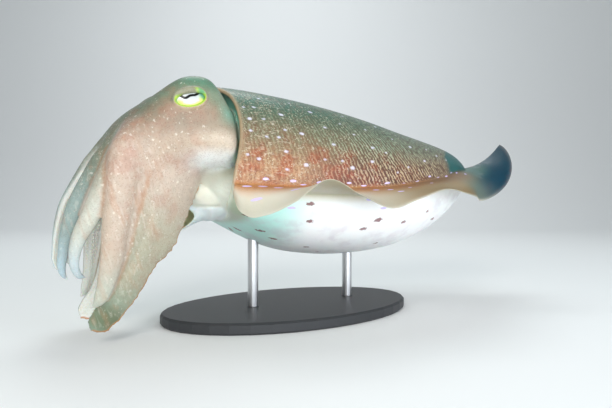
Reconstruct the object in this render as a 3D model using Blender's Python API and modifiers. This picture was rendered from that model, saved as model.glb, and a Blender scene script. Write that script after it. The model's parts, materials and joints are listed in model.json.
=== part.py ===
"""Pharaoh cuttlefish: a still, life-size museum model, hovering on a small display stand.

Every shape is given in the body frame, in millimetres: x runs back from the mantle's front rim to the tail,
-y is the animal's left, and z = 0 is FLOOR_DROP above the floor. The scene's origin is the centre of the
stand base's underside.
"""

import math
import random

import bmesh
import bpy
import numpy as np
from mathutils import Matrix, Vector
from mathutils.bvhtree import BVHTree

MM = 0.001
GAP = 0.3
HALF_GAP = GAP / 2
# A neighbour is swollen by this much before it is cut away, which leaves a gap of about GAP
TRIM = 0.42
SEED = 7

# Mantle: the main body behind the head
MANTLE_LENGTH = 280
MANTLE_WALL = 5
RECESS_FLOOR = 22
DORSAL_PROW = 12
SIDE_NOTCH = 2
VENTRAL_CORNER = 9.7
VENTRAL_NOTCH = 5
RIM_REACH = 0.35
DORSAL_POWER = 2.15
VENTRAL_POWER = 2.0
# share of the length, back's height, fin line's height, belly's height, half width
MANTLE = (
    (0.00, 93, 12, -13, 57),
    (0.04, 93, 11, -24, 61),
    (0.10, 91, 10, -36, 68),
    (0.20, 86, 10, -44, 74),
    (0.30, 79, 12, -45, 75),
    (0.40, 71, 17, -41.5, 70),
    (0.50, 65, 22, -33.5, 60),
    (0.60, 60, 27, -22, 48),
    (0.70, 54.5, 30, -9, 36),
    (0.80, 46, 33, 4, 25),
    (0.90, 41, 35, 17, 14),
    (1.00, 36, 36, 36, 0),
)

# Head: a bent loft from the neck, inside the mantle, to the crown that carries the arms
HEAD_POWER = 2.4
# share, centre x, centre z, lean below the horizontal in degrees, half width, dorsal and ventral half heights
HEAD = (
    (0.00, RECESS_FLOOR - GAP, 42, 0, 31, 28, 26),
    (0.15, 7, 45, 0, 34, 31, 26),
    (0.30, -8, 50, 8, 50, 31, 28),
    (0.50, -27, 52, 25, 52, 33, 31),
    (0.70, -44, 47, 42, 50, 32, 32),
    (0.85, -56, 39, 54, 46, 30, 31),
    (1.00, -66, 29, 62, 42, 26, 30),
)
# Swellings of the head on the left: centre, direction that the skin is lifted in, height and spread
SWELLINGS = (
    ((-37, -38, 76), (0.0, -0.38, 0.92), 14, 21),
    ((-17, -36, 80), (0.0, -0.20, 0.98), 7.5, 13),
    ((-12, -48, 42), (0.20, -0.95, -0.20), 4, 16),
)

# Eyes
EYE_SIZE = (14.6, 11, 8.6)
EYE_START = (-28.4, 64.6)
EYE_AIM = (-0.20, -1.0, 0.16)
EYE_OPENING = (11.4, 6.4)
EYE_PROUD = 0.6
LID_RISE = 1.5
UPPER_LID, LOWER_LID = 2.6, 1.6

# Arms: path points of the left arm from its root inside the head to its tip, then the direction that its
# outer face looks at the root and at the tip, then share, half width, thickness and keel width along it
ARMS = {
    "arm1": {
        "path": (
            (-66, -11, 54), (-79, -13, 44), (-84, -14.5, 37), (-90, -16.5, 26.5), (-99, -17.5, 9.5),
            (-106.5, -18, -4), (-110, -17, -14), (-112.5, -15, -24), (-114, -13.5, -34),
            (-114.5, -12, -43), (-112, -10.5, -50), (-108.5, -10, -52),
        ),
        "faces": ((-0.74, -0.68, 0.0), (-0.40, -0.90, 0.0)),
        "sizes": (
            (0.00, 8.5, 16, 0), (0.22, 8.6, 15, 0.5), (0.32, 8.7, 14, 1), (0.46, 8.6, 12, 1),
            (0.58, 7.0, 9.5, 1), (0.68, 5.4, 8.0, 1), (0.76, 4.2, 6.5, 0.6), (0.84, 3.2, 5.2, 0.4),
            (0.93, 2.3, 3.8, 0.2), (1.00, 0.0, 0.0, 0),
        ),
        "right_shift": (-1, 1, 3),
    },
    "arm2": {
        "path": (
            (-64, -22, 50), (-79, -27, 36), (-88, -31.5, 19), (-92.5, -33.5, 9), (-96.5, -33.5, 0),
            (-101.5, -33, -10.5), (-107, -30, -23), (-109, -27.5, -35), (-108, -25.5, -43),
            (-104.5, -23.5, -48), (-100, -23, -49.5),
        ),
        "faces": ((-0.55, -0.83, 0.0), (-0.45, -0.89, 0.0)),
        "sizes": (
            (0.00, 8.5, 15, 0), (0.18, 8.5, 15, 0.5), (0.34, 8.0, 14, 1), (0.43, 7.5, 13, 1),
            (0.52, 7.0, 12, 1), (0.61, 6.0, 10, 0.8), (0.73, 4.6, 8.0, 0.6), (0.84, 3.4, 6.0, 0.4),
            (0.91, 2.6, 4.6, 0.3), (0.96, 2.0, 3.6, 0.1), (1.00, 0.0, 0.0, 0),
        ),
        "right_shift": (2, -1, 4),
    },
    "arm3": {
        "path": (
            (-66, -26, 52), (-76, -34, 36), (-80, -37.5, 19), (-83.5, -40, 0), (-86.5, -41, -18),
            (-88, -41, -31.5), (-90, -39.5, -44), (-92.5, -38, -55.5), (-95.5, -37, -63),
            (-100, -35.5, -68.5),
        ),
        "faces": ((0.05, -1.0, 0.05), (0.0, -1.0, 0.0)),
        "sizes": (
            (0.00, 12.0, 18, 0), (0.16, 12.3, 18, 0), (0.29, 11.8, 17, 0.5), (0.44, 10.0, 14, 1),
            (0.59, 8.2, 11.5, 1), (0.69, 7.2, 9.5, 1), (0.79, 6.2, 8.0, 1), (0.88, 5.0, 6.5, 0.8),
            (0.94, 3.8, 5.0, 0.5), (1.00, 0.0, 0.0, 0),
        ),
        "right_shift": (4, -1, -4),
    },
    "arm4": {
        "path": (
            (-34, -22, 52), (-41.5, -26, 38.5), (-49.5, -28, 20.5), (-58.5, -29.5, 0),
            (-65, -30.7, -19.5), (-71.5, -31, -33.5), (-76, -31.2, -46), (-81, -30.6, -58),
            (-86, -30, -66.5), (-92.5, -29.8, -74.5), (-96.5, -29.6, -80.5), (-99.5, -29.5, -84),
        ),
        "faces": ((0.29, -0.95, -0.05), (0.25, -0.96, 0.05)),
        "sizes": (
            (0.00, 16.0, 18, 3), (0.10, 17.0, 18, 4), (0.23, 17.5, 18, 7), (0.38, 16.5, 17, 8.5),
            (0.52, 14.5, 14, 9.5), (0.62, 11.3, 12, 8.5), (0.70, 9.6, 10, 7.5), (0.79, 8.2, 8.5, 6.5),
            (0.86, 7.2, 7.0, 5.5), (0.93, 6.5, 5.5, 5), (0.975, 5.0, 4.0, 3), (1.00, 0.0, 0.0, 0),
        ),
        "right_shift": (3, -1, -3),
    },
}
# name of each length, its first and last share of the arm, its stations and its steps of suckers
ARM_LENGTHS = (
    ("base", 0.0, 0.52, 8, 4),
    ("middle", 0.52, 0.78, 4, 3),
    ("tip", 0.78, 1.0, 6, 4),
)
ARM_SIDES = 12
ARM_END = 0.985
ORAL_DEPTH = 0.62
ROOT_END, ROOT_STATIONS = 0.42, 6
# Suckers stand in four staggered rows: where across the arm, for even and for odd steps
SUCKER_ROWS = ((-0.62, 0.2), (-0.2, 0.62))
SUCKER_FIRST = 0.24
SUCKER_LAST = 0.96
SUCKER_SIDES = 6
SUCKER_SINK = 1.4

# Fins: x of the root, swing of the fin's ray towards the tail, rise of the ray, both in degrees, and its width
FIN_LEFT = (
    (0.2, -32, -50, 6),
    (2, -28, -50, 16),
    (7, -21, -47, 27),
    (15, -14, -36, 32),
    (27, -7, -18, 33),
    (44, 0, 11, 34),
    (66, 3, -5, 35),
    (90, 5, -21, 37),
    (115, 5, -12, 36),
    (146, 8, -5, 33),
    (180, 12, -19, 32),
    (206, 20, -33, 31),
    (237, 36, -50, 33),
    (258, 43, -34, 38),
    (272, 50, -4, 46),
    (279.9, 62, 32, 55),
)
FIN_RIGHT = (
    (0.2, -32, -35, 6),
    (2, -28, -33, 16),
    (7, -21, -28, 27),
    (15, -14, -20, 32),
    (27, -7, -6, 33),
    (44, 0, 9, 34),
    (66, 3, 12, 35),
    (90, 5, -4, 37),
    (115, 5, -19, 36),
    (146, 8, -8, 33),
    (180, 12, 12, 32),
    (206, 20, 6, 31),
    (237, 36, 2, 33),
    (258, 43, 22, 38),
    (272, 50, 30, 44),
    (279.9, 62, 26, 48),
)
FIN_ROOT_DEPTH = 4
FIN_ROOT_THICKNESS = 5.0
FIN_MARGIN_THICKNESS = 1.1
FIN_CUTS = (88, 192)
FIN_STATIONS = 36

# Funnel: x, z, half width and half height from its base inside the mantle to its mouth
FUNNEL = (
    (0.00, 20, -1, 30, 10),
    (0.25, 7, 2, 29, 15),
    (0.45, -5, 4.5, 27, 18),
    (0.65, -16, 0, 22, 15),
    (0.85, -27, -8.8, 16, 11),
    (1.00, -34.5, -15, 12, 9),
)
FUNNEL_WALL = 1.6
FUNNEL_BORE = 0.22

# Mouth: radius and height of the turned lip, from its rim down to the axis, where the beak's tip stands
MOUTH = ((0, 9.8), (1.3, 9.2), (2.6, 6.6), (3.6, 6.8), (5.5, 8.0), (8.5, 6.5), (10, 3), (10, 0), (0, 0))
MOUTH_STEPS = 16

# Display stand, and how far the body frame is above the floor
FLOOR_DROP = 95
STAND_CENTRE = 72
BASE_LENGTH, BASE_WIDTH, BASE_HEIGHT = 230, 140, 9
BASE_CHAMFER = 1.6
ROD_RADIUS = 4.5
ROD_TOP = -10
RODS = (("stand_rod_front", 34), ("stand_rod_rear", 132))

SKIN_PALE = (0.62, 0.50, 0.40, 1)
SKIN_MANTLE = (0.36, 0.24, 0.17, 1)
SKIN_FIN = (0.55, 0.45, 0.33, 1)
SKIN_WHITE = (0.80, 0.80, 0.76, 1)
EYE_GREEN = (0.55, 0.62, 0.12, 1)
BEAK_BROWN = (0.10, 0.05, 0.03, 1)
STAND_DARK = (0.03, 0.03, 0.035, 1)
STEEL = (0.60, 0.60, 0.62, 1)


def clear_scene():
    for obj in list(bpy.data.objects):
        bpy.data.objects.remove(obj)


def material(name, colour, roughness, metallic=0.0):
    made = bpy.data.materials.new(name)
    made.use_nodes = True
    shader = made.node_tree.nodes["Principled BSDF"]
    shader.inputs["Base Color"].default_value = colour
    shader.inputs["Roughness"].default_value = roughness
    shader.inputs["Metallic"].default_value = metallic
    return made


def smooth(keys, place):
    """The row of values at place on the smooth curve through keys, whose first column is the place."""
    table = np.array(keys, float)
    places, values = table[:, 0], table[:, 1:]
    slopes = np.gradient(values, places, axis=0)
    i = int(np.clip(np.searchsorted(places, place) - 1, 0, len(places) - 2))
    span = places[i + 1] - places[i]
    u = float(np.clip((place - places[i]) / span, 0, 1))
    rest = 1 - u
    return (
        values[i] * (1 + 2 * u) * rest * rest
        + values[i + 1] * u * u * (3 - 2 * u)
        + slopes[i] * span * u * rest * rest
        - slopes[i + 1] * span * u * u * rest
    )


def bent(value, power):
    """value raised to a power with its sign kept, for superellipses."""
    return math.copysign(abs(value) ** power, value)


def add_object(name, editing, finish=None):
    """A new object from an edited mesh in metres. One with no finish is a cutter."""
    for piece in loose_pieces(editing):
        faces = list({face for vert in piece for face in vert.link_faces})
        bmesh.ops.recalc_face_normals(editing, faces=faces)
        if volume_of(faces) < 0:
            bmesh.ops.reverse_faces(editing, faces=faces)
    mesh = bpy.data.meshes.new(name)
    editing.to_mesh(mesh)
    editing.free()
    obj = bpy.data.objects.new(name, mesh)
    if finish is None:
        cutters.objects.link(obj)
        obj.hide_render = True
        obj.display_type = "WIRE"
        return obj
    mesh.materials.append(finish)
    mesh.shade_smooth()
    mesh.set_sharp_from_angle(angle=math.radians(50))
    collection.objects.link(obj)
    return obj


def object_from(name, points, faces, finish=None):
    """One closed mesh object from points in millimetres."""
    editing = bmesh.new()
    verts = [editing.verts.new(Vector(p) * MM) for p in points]
    for face in faces:
        editing.faces.new([verts[k] for k in face])
    return add_object(name, editing, finish)


def loft(name, rings, finish=None, end_point=None):
    """A closed skin over rings of equal length. It ends in a flat cap, or in end_point."""
    count = len(rings[0])
    points = [p for ring in rings for p in ring]
    faces = [tuple(range(count))]
    for r in range(len(rings) - 1):
        for k in range(count):
            after = (k + 1) % count
            faces.append((r * count + k, r * count + after, (r + 1) * count + after, (r + 1) * count + k))
    last = (len(rings) - 1) * count
    if end_point is None:
        faces.append(tuple(range(last, last + count)))
    else:
        points.append(end_point)
        faces += [(last + k, last + (k + 1) % count, len(points) - 1) for k in range(count)]
    return object_from(name, points, faces, finish)


def drop(obj):
    bpy.data.objects.remove(obj)


def apply_modifiers(obj):
    bpy.context.view_layer.update()
    graph = bpy.context.evaluated_depsgraph_get()
    made = bpy.data.meshes.new_from_object(obj.evaluated_get(graph))
    obj.modifiers.clear()
    obj.data = made


def loose_pieces(editing):
    """The verts of each connected surface of an edited mesh."""
    left = set(editing.verts)
    pieces = []
    while left:
        piece, front = set(), {left.pop()}
        while front:
            vert = front.pop()
            piece.add(vert)
            near = {edge.other_vert(vert) for edge in vert.link_edges} & left
            left -= near
            front |= near
        pieces.append(piece)
    return pieces


def volume_of(faces):
    """Six times the signed volume inside closed faces."""
    total = 0.0
    for face in faces:
        first, *rest = [vert.co for vert in face.verts]
        for b, c in zip(rest, rest[1:]):
            total += first.dot(b.cross(c))
    return total


def keep_largest(obj):
    """Leaves only the mesh's largest connected surface."""
    editing = bmesh.new()
    editing.from_mesh(obj.data)
    largest = max(loose_pieces(editing), key=len)
    bmesh.ops.delete(editing, geom=[v for v in editing.verts if v not in largest], context="VERTS")
    editing.to_mesh(obj.data)
    editing.free()


def cut(obj, tools, all_pieces=False, solver="EXACT"):
    """Takes each tool away from obj."""
    for tool in tools:
        step = obj.modifiers.new("cut", "BOOLEAN")
        step.operation = "DIFFERENCE"
        step.solver = solver
        step.object = tool
    apply_modifiers(obj)
    if not all_pieces:
        keep_largest(obj)


def join(obj, pieces, solver="EXACT"):
    """Joins pieces into obj with one Boolean union and removes them."""
    group = bpy.data.collections.new("pieces")
    bpy.context.scene.collection.children.link(group)
    for piece in pieces:
        for home in piece.users_collection:
            home.objects.unlink(piece)
        group.objects.link(piece)
    step = obj.modifiers.new("join", "BOOLEAN")
    step.operation = "UNION"
    step.solver = solver
    step.operand_type = "COLLECTION"
    step.collection = group
    apply_modifiers(obj)
    for piece in pieces:
        drop(piece)
    bpy.data.collections.remove(group)
    keep_largest(obj)


def grown(obj, distance):
    """A cutter: a copy of obj swollen by distance, which leaves a gap round it."""
    editing = bmesh.new()
    editing.from_mesh(obj.data)
    bmesh.ops.triangulate(editing, faces=editing.faces)
    editing.normal_update()
    for vert in editing.verts:
        vert.co += vert.normal * distance * MM
    return add_object(obj.name + "_grown", editing)


def block(name, low, high):
    """A box cutter between two corners in millimetres."""
    low, high = Vector(low), Vector(high)
    editing = bmesh.new()
    sizes = Matrix.Diagonal(((high - low) * MM).to_4d())
    sizes[3][3] = 1
    bmesh.ops.create_cube(editing, size=1, matrix=Matrix.Translation((low + high) / 2 * MM) @ sizes)
    return add_object(name, editing)


def turned(axis, side_hint):
    """A turn that takes +Z to axis and +X close to side_hint."""
    axis = Vector(axis).normalized()
    across = axis.cross(side_hint).normalized()
    return Matrix((across.cross(axis), across, axis)).transposed()


# Mantle
def mantle_share(x):
    return math.asin(min(x / MANTLE_LENGTH, 1.0)) * 2 / math.pi


def rim_x(angle):
    """Where the front rim is: a prow above, a notch on each side, and a corner on each side of the funnel."""
    rise = math.sin(angle)
    if rise > 0:
        return SIDE_NOTCH * math.sin(2 * angle) ** 2 - DORSAL_PROW * rise**20
    return VENTRAL_NOTCH * rise**6 - VENTRAL_CORNER * math.cos(angle) ** 4 * abs(rise) / 0.286


def mantle_point(share, angle, inset=0.0):
    top, side, bottom, half_width = smooth(MANTLE, share)
    rise = math.sin(angle)
    power = 2 / (DORSAL_POWER if rise > 0 else VENTRAL_POWER)
    height = top - side if rise > 0 else side - bottom
    fade = max(0.0, 1 - share / RIM_REACH) ** 2
    return Vector((
        MANTLE_LENGTH * math.sin(share * math.pi / 2) + rim_x(angle) * fade,
        -(half_width - inset) * bent(math.cos(angle), power),
        side + (height - inset) * bent(rise, power),
    ))


def around(count):
    return [2 * math.pi * k / count for k in range(count)]


def make_mantle(finish, stations=19, sides=36):
    """The bag of the body, with a shallow recess in front that takes the neck and the funnel."""
    floor_share = mantle_share(RECESS_FLOOR)
    rings = []
    for deep in (1.0, 0.1):
        ring = []
        for angle in around(sides):
            p = mantle_point(deep * floor_share, angle, MANTLE_WALL)
            p.x = rim_x(angle) * (1 - deep) + RECESS_FLOOR * deep
            ring.append(p)
        rings.append(ring)
    lip = [mantle_point(0, angle, MANTLE_WALL / 2) - Vector((1.2, 0, 0)) for angle in around(sides)]
    rings.append(lip)
    for i in range(stations):
        share = 0.008 + (0.975 - 0.008) * i / (stations - 1)
        rings.append([mantle_point(share, angle) for angle in around(sides)])
    return loft("mantle", rings, finish, end_point=mantle_point(1.0, 0))


# Head
def head_frame(share):
    """Centre, forward direction and dorsal direction of the head at a share of its length, and its sizes."""
    x, z, lean, half_width, dorsal, ventral = smooth(HEAD, share)
    lean = math.radians(lean)
    forward = Vector((-math.cos(lean), 0, -math.sin(lean)))
    up = Vector((-math.sin(lean), 0, math.cos(lean)))
    return Vector((x, 0, z)), forward, up, half_width, dorsal, ventral


def swollen(point):
    """point lifted where the domes over the eyes and the cheeks rise."""
    lifted = Vector(point)
    for centre, lift, height, spread in SWELLINGS:
        for side in (1, -1):
            near = (point - Vector((centre[0], centre[1] * side, centre[2]))).length / spread
            lifted += Vector((lift[0], lift[1] * side, lift[2])) * height * math.exp(-near * near)
    return lifted


def head_point(share, angle):
    centre, _, up, half_width, dorsal, ventral = head_frame(share)
    rise = math.sin(angle)
    height = dorsal if rise > 0 else ventral
    point = (
        centre
        + Vector((0, -half_width * bent(math.cos(angle), 2 / HEAD_POWER), 0))
        + up * height * bent(rise, 2 / HEAD_POWER)
    )
    return swollen(point)


def crown_block(offset, in_front):
    """A cutter that fills the space in front of the crown's plane, or behind it, moved forward by offset."""
    centre, forward, *_ = head_frame(1.0)
    reach = 200
    low, high = (0, reach) if in_front else (-reach, 0)
    made = block("crown_block", (-reach, -reach, low), (reach, reach, high))
    made.data.transform(
        Matrix.Translation((centre + forward * offset) * MM) @ turned(forward, Vector((0, 1, 0))).to_4x4()
    )
    return made


def make_head_loft(finish, stations=17, sides=30):
    rings = []
    for i in range(stations):
        rings.append([head_point(i / (stations - 1), angle) for angle in around(sides)])
    return loft("head", rings, finish)


# Eyes
def eye_seat(head, side):
    """Centre of an eye and the turn that takes +Z to its aim, +X along its slit and +Y upwards."""
    aim = Vector(EYE_AIM).normalized()
    aim.y *= -side
    start = Vector((EYE_START[0], 0, EYE_START[1])) * MM
    tree = BVHTree.FromObject(head, bpy.context.evaluated_depsgraph_get())
    hit, *_ = tree.ray_cast(start, aim)
    centre = hit / MM + aim * (EYE_PROUD - EYE_SIZE[2])
    return centre, turned(aim, Vector((-side, 0, 0)))


def eye_place(centre, turn):
    return Matrix.Translation(centre * MM) @ turn.to_4x4() @ Matrix.Scale(MM, 4)


def make_eye(name, centre, turn, finish):
    """A flattened ball: across the slit it is lower, and along the aim it is shallow, as under clear skin."""
    editing = bmesh.new()
    bmesh.ops.create_uvsphere(editing, u_segments=16, v_segments=10, radius=1)
    for vert in editing.verts:
        vert.co = Vector(c * size for c, size in zip(vert.co, EYE_SIZE))
    editing.transform(eye_place(centre, turn))
    return add_object(name, editing, finish)


def eye_rim(angle, scale):
    """A point of the eye's surface under the edge of the opening, in the eye's own axes."""
    x = EYE_OPENING[0] * scale * math.cos(angle)
    y = EYE_OPENING[1] * scale * math.sin(angle)
    left = 1 - (x / EYE_SIZE[0]) ** 2 - (y / EYE_SIZE[1]) ** 2
    return Vector((x, y, EYE_SIZE[2] * math.sqrt(max(left, 0.0))))


def opening_cutter(centre, turn):
    """An oval prism that opens the skin over an eye."""
    editing = bmesh.new()
    bmesh.ops.create_cone(editing, cap_ends=True, segments=24, radius1=0.94, radius2=1.25, depth=2)
    for vert in editing.verts:
        across = Vector((vert.co.x * EYE_OPENING[0], vert.co.y * EYE_OPENING[1], 0))
        vert.co = across + Vector((0, 0, EYE_SIZE[2] * (0.95 + 0.75 * vert.co.z)))
    editing.transform(eye_place(centre, turn))
    return add_object("eye_opening", editing)


def lid_roll(centre, turn, finish, upper, steps=12):
    """One lid: a roll of skin along the opening's edge, thickest in the middle."""
    place = eye_place(centre, turn)
    rings = []
    size = UPPER_LID if upper else LOWER_LID
    for i in range(steps + 1):
        angle = math.pi * i / steps * (1 if upper else -1)
        middle = eye_rim(angle, 1.13) + Vector((0, 0, LID_RISE))
        tangent = Vector((-EYE_OPENING[0] * math.sin(angle), EYE_OPENING[1] * math.cos(angle), 0)).normalized()
        across = Vector((0, 0, 1)).cross(tangent)
        thick = size * (0.4 + 0.6 * abs(math.sin(angle)) ** 0.7)
        rings.append([
            place @ (middle + (across * math.cos(b) + Vector((0, 0, 1)) * math.sin(b)) * thick) / MM
            for b in around(6)
        ])
    return loft("lid", rings, finish)


# Arms
def arm_path(name, side):
    """Path points of an arm with the share of its length in front, in the left arm's coordinates."""
    points = np.array(ARMS[name]["path"], float)
    steps = np.linalg.norm(np.diff(points, axis=0), axis=1)
    share = np.concatenate([[0], np.cumsum(steps)]) / steps.sum()
    if side > 0:
        points += np.outer(share, ARMS[name]["right_shift"])
    return np.column_stack([share, points])


def arm_frame(name, side, share):
    """Centre, tangent, sideways (towards the keel) and outward directions of an arm, and its sizes there."""
    path = arm_path(name, side)
    step = 0.01
    centre = Vector(smooth(path, share))
    before = Vector(smooth(path, max(share - step, 0)))
    after = Vector(smooth(path, min(share + step, 1)))
    tangent = (after - before).normalized()
    first, last = (Vector(face) for face in ARMS[name]["faces"])
    outward = first.lerp(last, share)
    outward = (outward - tangent * outward.dot(tangent)).normalized()
    return centre, tangent, outward.cross(tangent), outward, smooth(ARMS[name]["sizes"], share)


def arm_surface(name, side, share, angle, grow=0.0):
    """A point on an arm's skin. Angle 0 is the keel's edge, 90 degrees the outer face, 270 the oral face."""
    centre, _, sideways, outward, (half, thick, keel) = arm_frame(name, side, share)
    c, s = math.cos(angle), math.sin(angle)
    across = (half + grow) * c + keel * max(c, 0) ** 4
    if s > 0:
        out = (thick / 2 + grow) * s
    else:
        out = -(thick / 2 * ORAL_DEPTH + grow) * abs(s) ** 0.7
    point = centre + sideways * across + outward * out
    if side > 0:
        point.y = -point.y
    return point


def length_shares(start, end, stations):
    """Where a length's rings stand: short of its neighbours by half the gap, and close to the tip."""
    edge = HALF_GAP / 110
    first = start + edge if start else start
    last = end - edge if end < 1 else ARM_END
    return [first + (last - first) * i / (stations - 1) for i in range(stations)]


def make_arm_loft(label, name, side, shares, finish=None, grow=0.0):
    rings = [[arm_surface(name, side, share, a, grow) for a in around(ARM_SIDES)] for share in shares]
    tip = None
    if shares[-1] >= ARM_END:
        tip = Vector(smooth(arm_path(name, side), 1.0))
        if side > 0:
            tip.y = -tip.y
    return loft(label, rings, finish, end_point=tip)


def arm_room(name, side):
    """A cutter: the whole arm swollen, which leaves a gap round it."""
    shares = []
    for _, start, end, stations, _ in ARM_LENGTHS:
        shares += length_shares(start, end, stations)
    return make_arm_loft("arm_room", name, side, shares, grow=TRIM)


# Suckers
def sucker_place(name, side, share, row):
    """Where a cup stands on an arm's oral face, and its size. row is its place across the arm, -1 to 1."""
    centre, tangent, sideways, outward, (half, thick, _) = arm_frame(name, side, share)
    lift = (1 - row**2) ** 0.35
    foot = centre + sideways * half * row - outward * thick / 2 * ORAL_DEPTH * lift
    aim = (sideways * row * 0.25 - outward).normalized()
    if side > 0:
        foot.y, aim.y, tangent.y = -foot.y, -aim.y, -tangent.y
    place = Matrix.Translation(foot * MM) @ turned(aim, tangent).to_4x4() @ Matrix.Scale(MM, 4)
    return place, 0.13 * half + 0.55, min(SUCKER_SINK, 0.22 * thick)


def add_cup(editing, place, radius, sink):
    """A short cup with a dimple, widest at its rim, that starts below the arm's surface."""
    height = 0.7 * radius + 0.3
    rise = Matrix.Translation((0, 0, (height - sink) / 2))
    made = bmesh.ops.create_cone(
        editing,
        cap_ends=True,
        segments=SUCKER_SIDES,
        radius1=radius * 0.72,
        radius2=radius,
        depth=height + sink,
        matrix=place @ rise,
    )["verts"]
    aim = place.to_3x3() @ Vector((0, 0, 1))
    faces = {face for vert in made for face in vert.link_faces}
    top = max(faces, key=lambda face: face.calc_center_median().dot(aim))
    centre = bmesh.ops.poke(editing, faces=[top])["verts"][0]
    centre.co -= aim * height * 0.5


def make_suckers(name, side, start, end, steps, dice, finish):
    """The staggered pairs of cups along one length of an arm, as one object."""
    first, last = max(start, SUCKER_FIRST), min(end, SUCKER_LAST)
    editing = bmesh.new()
    for i in range(steps):
        share = first + (last - first) * (i + 0.5) / steps
        for row in SUCKER_ROWS[i % 2]:
            place, radius, sink = sucker_place(name, side, share, row)
            add_cup(editing, place, radius * dice.uniform(0.92, 1.08), sink)
    return add_object("suckers", editing, finish)


def make_arms(finish):
    """Every arm in its lengths, clear of its neighbours. It returns the roots, which belong to the head."""
    dice = random.Random(SEED)
    midline = block("midline", (-400, -0.2, -400), (400, 0.2, 400))
    behind = crown_block(HALF_GAP, in_front=False)
    roots = []
    for word, side in (("left", -1), ("right", 1)):
        room = {name: arm_room(name, side) for name in ARMS}
        for k, name in enumerate(ARMS):
            above = [room[other] for other in list(ARMS)[:k][-1:]]
            below = [room[other] for other in list(ARMS)[k + 1:][:1]]
            roots.append(make_arm_loft("root", name, side, length_shares(0, ROOT_END, ROOT_STATIONS), finish))
            for label, start, end, stations, steps in ARM_LENGTHS:
                shares = length_shares(start, end, stations)
                piece = make_arm_loft(f"{name}_{word}_{label}", name, side, shares, finish)
                suckers = make_suckers(name, side, start, end, steps, dice, finish)
                cut(suckers, above, all_pieces=True)
                join(piece, [suckers])
                tools = below + [midline] * (name in ("arm1", "arm4")) + [behind] * (label == "base")
                cut(piece, tools)
    return roots


# Fins
def fin_ray(keys, x, side):
    """Root and margin of the fin at x, and the direction that its root grows in."""
    swing, rise, width = smooth(keys, x)
    swing, rise = math.radians(swing), math.radians(rise)
    share = mantle_share(x)
    root = mantle_point(share, 0)
    flat = Vector((math.sin(swing), -math.cos(swing), 0))
    margin = root + (flat * math.cos(rise) + Vector((0, 0, math.sin(rise)))) * width
    middle = root + (flat * math.cos(rise * 0.6) + Vector((0, 0, math.sin(rise * 0.6)))) * width * 0.5
    sunk = root - flat * FIN_ROOT_DEPTH
    points = [sunk, root, middle, margin]
    if side > 0:
        points = [Vector((p.x, -p.y, p.z)) for p in points]
    return points


def fin_thickness(across):
    """Full thickness at a share of the way from root to margin."""
    return FIN_MARGIN_THICKNESS + (FIN_ROOT_THICKNESS - FIN_MARGIN_THICKNESS) * (1 - across) ** 2.2


def fin_line(points, across):
    """A point on the bent ray through sunk root, root, middle and margin."""
    sunk, root, middle, margin = points
    if across < 0:
        return root.lerp(sunk, -across)
    bow = middle * 2 - (root + margin) * 0.5
    rest = 1 - across
    return root * rest * rest + bow * 2 * rest * across + margin * across * across


def make_fin(name, keys, side, finish, stations=FIN_STATIONS):
    """A waving sheet, split into triangles alike on both faces."""
    shares = (-1.0, 0.0, 0.2, 0.45, 0.72, 1.0)
    first, last = mantle_share(keys[0][0]), mantle_share(keys[-1][0])
    grid = []
    for i in range(stations):
        share = first + (last - first) * (i / (stations - 1)) ** 1.3
        x = MANTLE_LENGTH * math.sin(share * math.pi / 2)
        grid.append([fin_line(fin_ray(keys, x, side), a) for a in shares])
    upper, lower = [], []
    for i in range(stations):
        ahead, behind = grid[max(i - 1, 0)], grid[min(i + 1, stations - 1)]
        for j, across in enumerate(shares):
            run = behind[j] - ahead[j]
            out = grid[i][min(j + 1, len(shares) - 1)] - grid[i][max(j - 1, 0)]
            normal = run.cross(out).normalized()
            if normal.z * side < 0:
                normal.negate()
            half = fin_thickness(max(across, 0)) / 2
            upper.append(grid[i][j] + normal * half * side)
            lower.append(grid[i][j] - normal * half * side)
    columns = len(shares)
    size = len(upper)
    faces = []
    for i in range(stations - 1):
        for j in range(columns - 1):
            a, b = i * columns + j, i * columns + j + 1
            c, d = a + columns, b + columns
            faces += [(a, b, d), (a, d, c)]
            faces += [(size + a, size + d, size + b), (size + a, size + c, size + d)]
        a, c = i * columns, (i + 1) * columns
        faces += [(a, c, size + c), (a, size + c, size + a)]
        b, d = a + columns - 1, c + columns - 1
        faces += [(b, size + b, size + d), (b, size + d, d)]
    for start in (0, (stations - 1) * columns):
        for j in range(columns - 1):
            a, b = start + j, start + j + 1
            faces += [(a, size + a, size + b), (a, size + b, b)]
    return object_from(name, upper + lower, faces, finish)


def slice_fin(fin, name):
    """Parts a fin into three lengths with thin cuts across it."""
    reach = 400
    limits = (-reach, *FIN_CUTS, reach)
    for i, label in enumerate(("front", "middle", "tail")):
        piece = bpy.data.objects.new(f"{name}_{label}", fin.data.copy())
        collection.objects.link(piece)
        tools = []
        if i > 0:
            tools.append(block("slice", (-reach, -reach, -reach), (limits[i] + HALF_GAP, reach, reach)))
        if i < 2:
            tools.append(block("slice", (limits[i + 1] - HALF_GAP, -reach, -reach), (reach, reach, reach)))
        cut(piece, tools)
    drop(fin)


# Funnel
def make_funnel(finish, stations=10, sides=20):
    """The soft spout under the head, with a bore at its mouth."""
    rings = []

    def ring(share, wall):
        x, z, half_width, half_height = smooth(FUNNEL, share)
        x_next, z_next, *_ = smooth(FUNNEL, min(share + 0.02, 1.0))
        x_past, z_past, *_ = smooth(FUNNEL, max(share - 0.02, 0.0))
        forward = Vector((x_next - x_past, 0, z_next - z_past)).normalized()
        up = forward.cross(Vector((0, 1, 0)))
        return [
            Vector((x, 0, z))
            + Vector((0, 1, 0)) * (half_width - wall) * math.cos(a)
            + up * (half_height - wall) * math.sin(a)
            for a in around(sides)
        ]

    for i in range(stations):
        rings.append(ring(i / (stations - 1), 0))
    for i in range(4):
        rings.append(ring(1 - FUNNEL_BORE * i / 3, FUNNEL_WALL * (1 + i * 0.5)))
    return loft("funnel", rings, finish)


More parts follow.
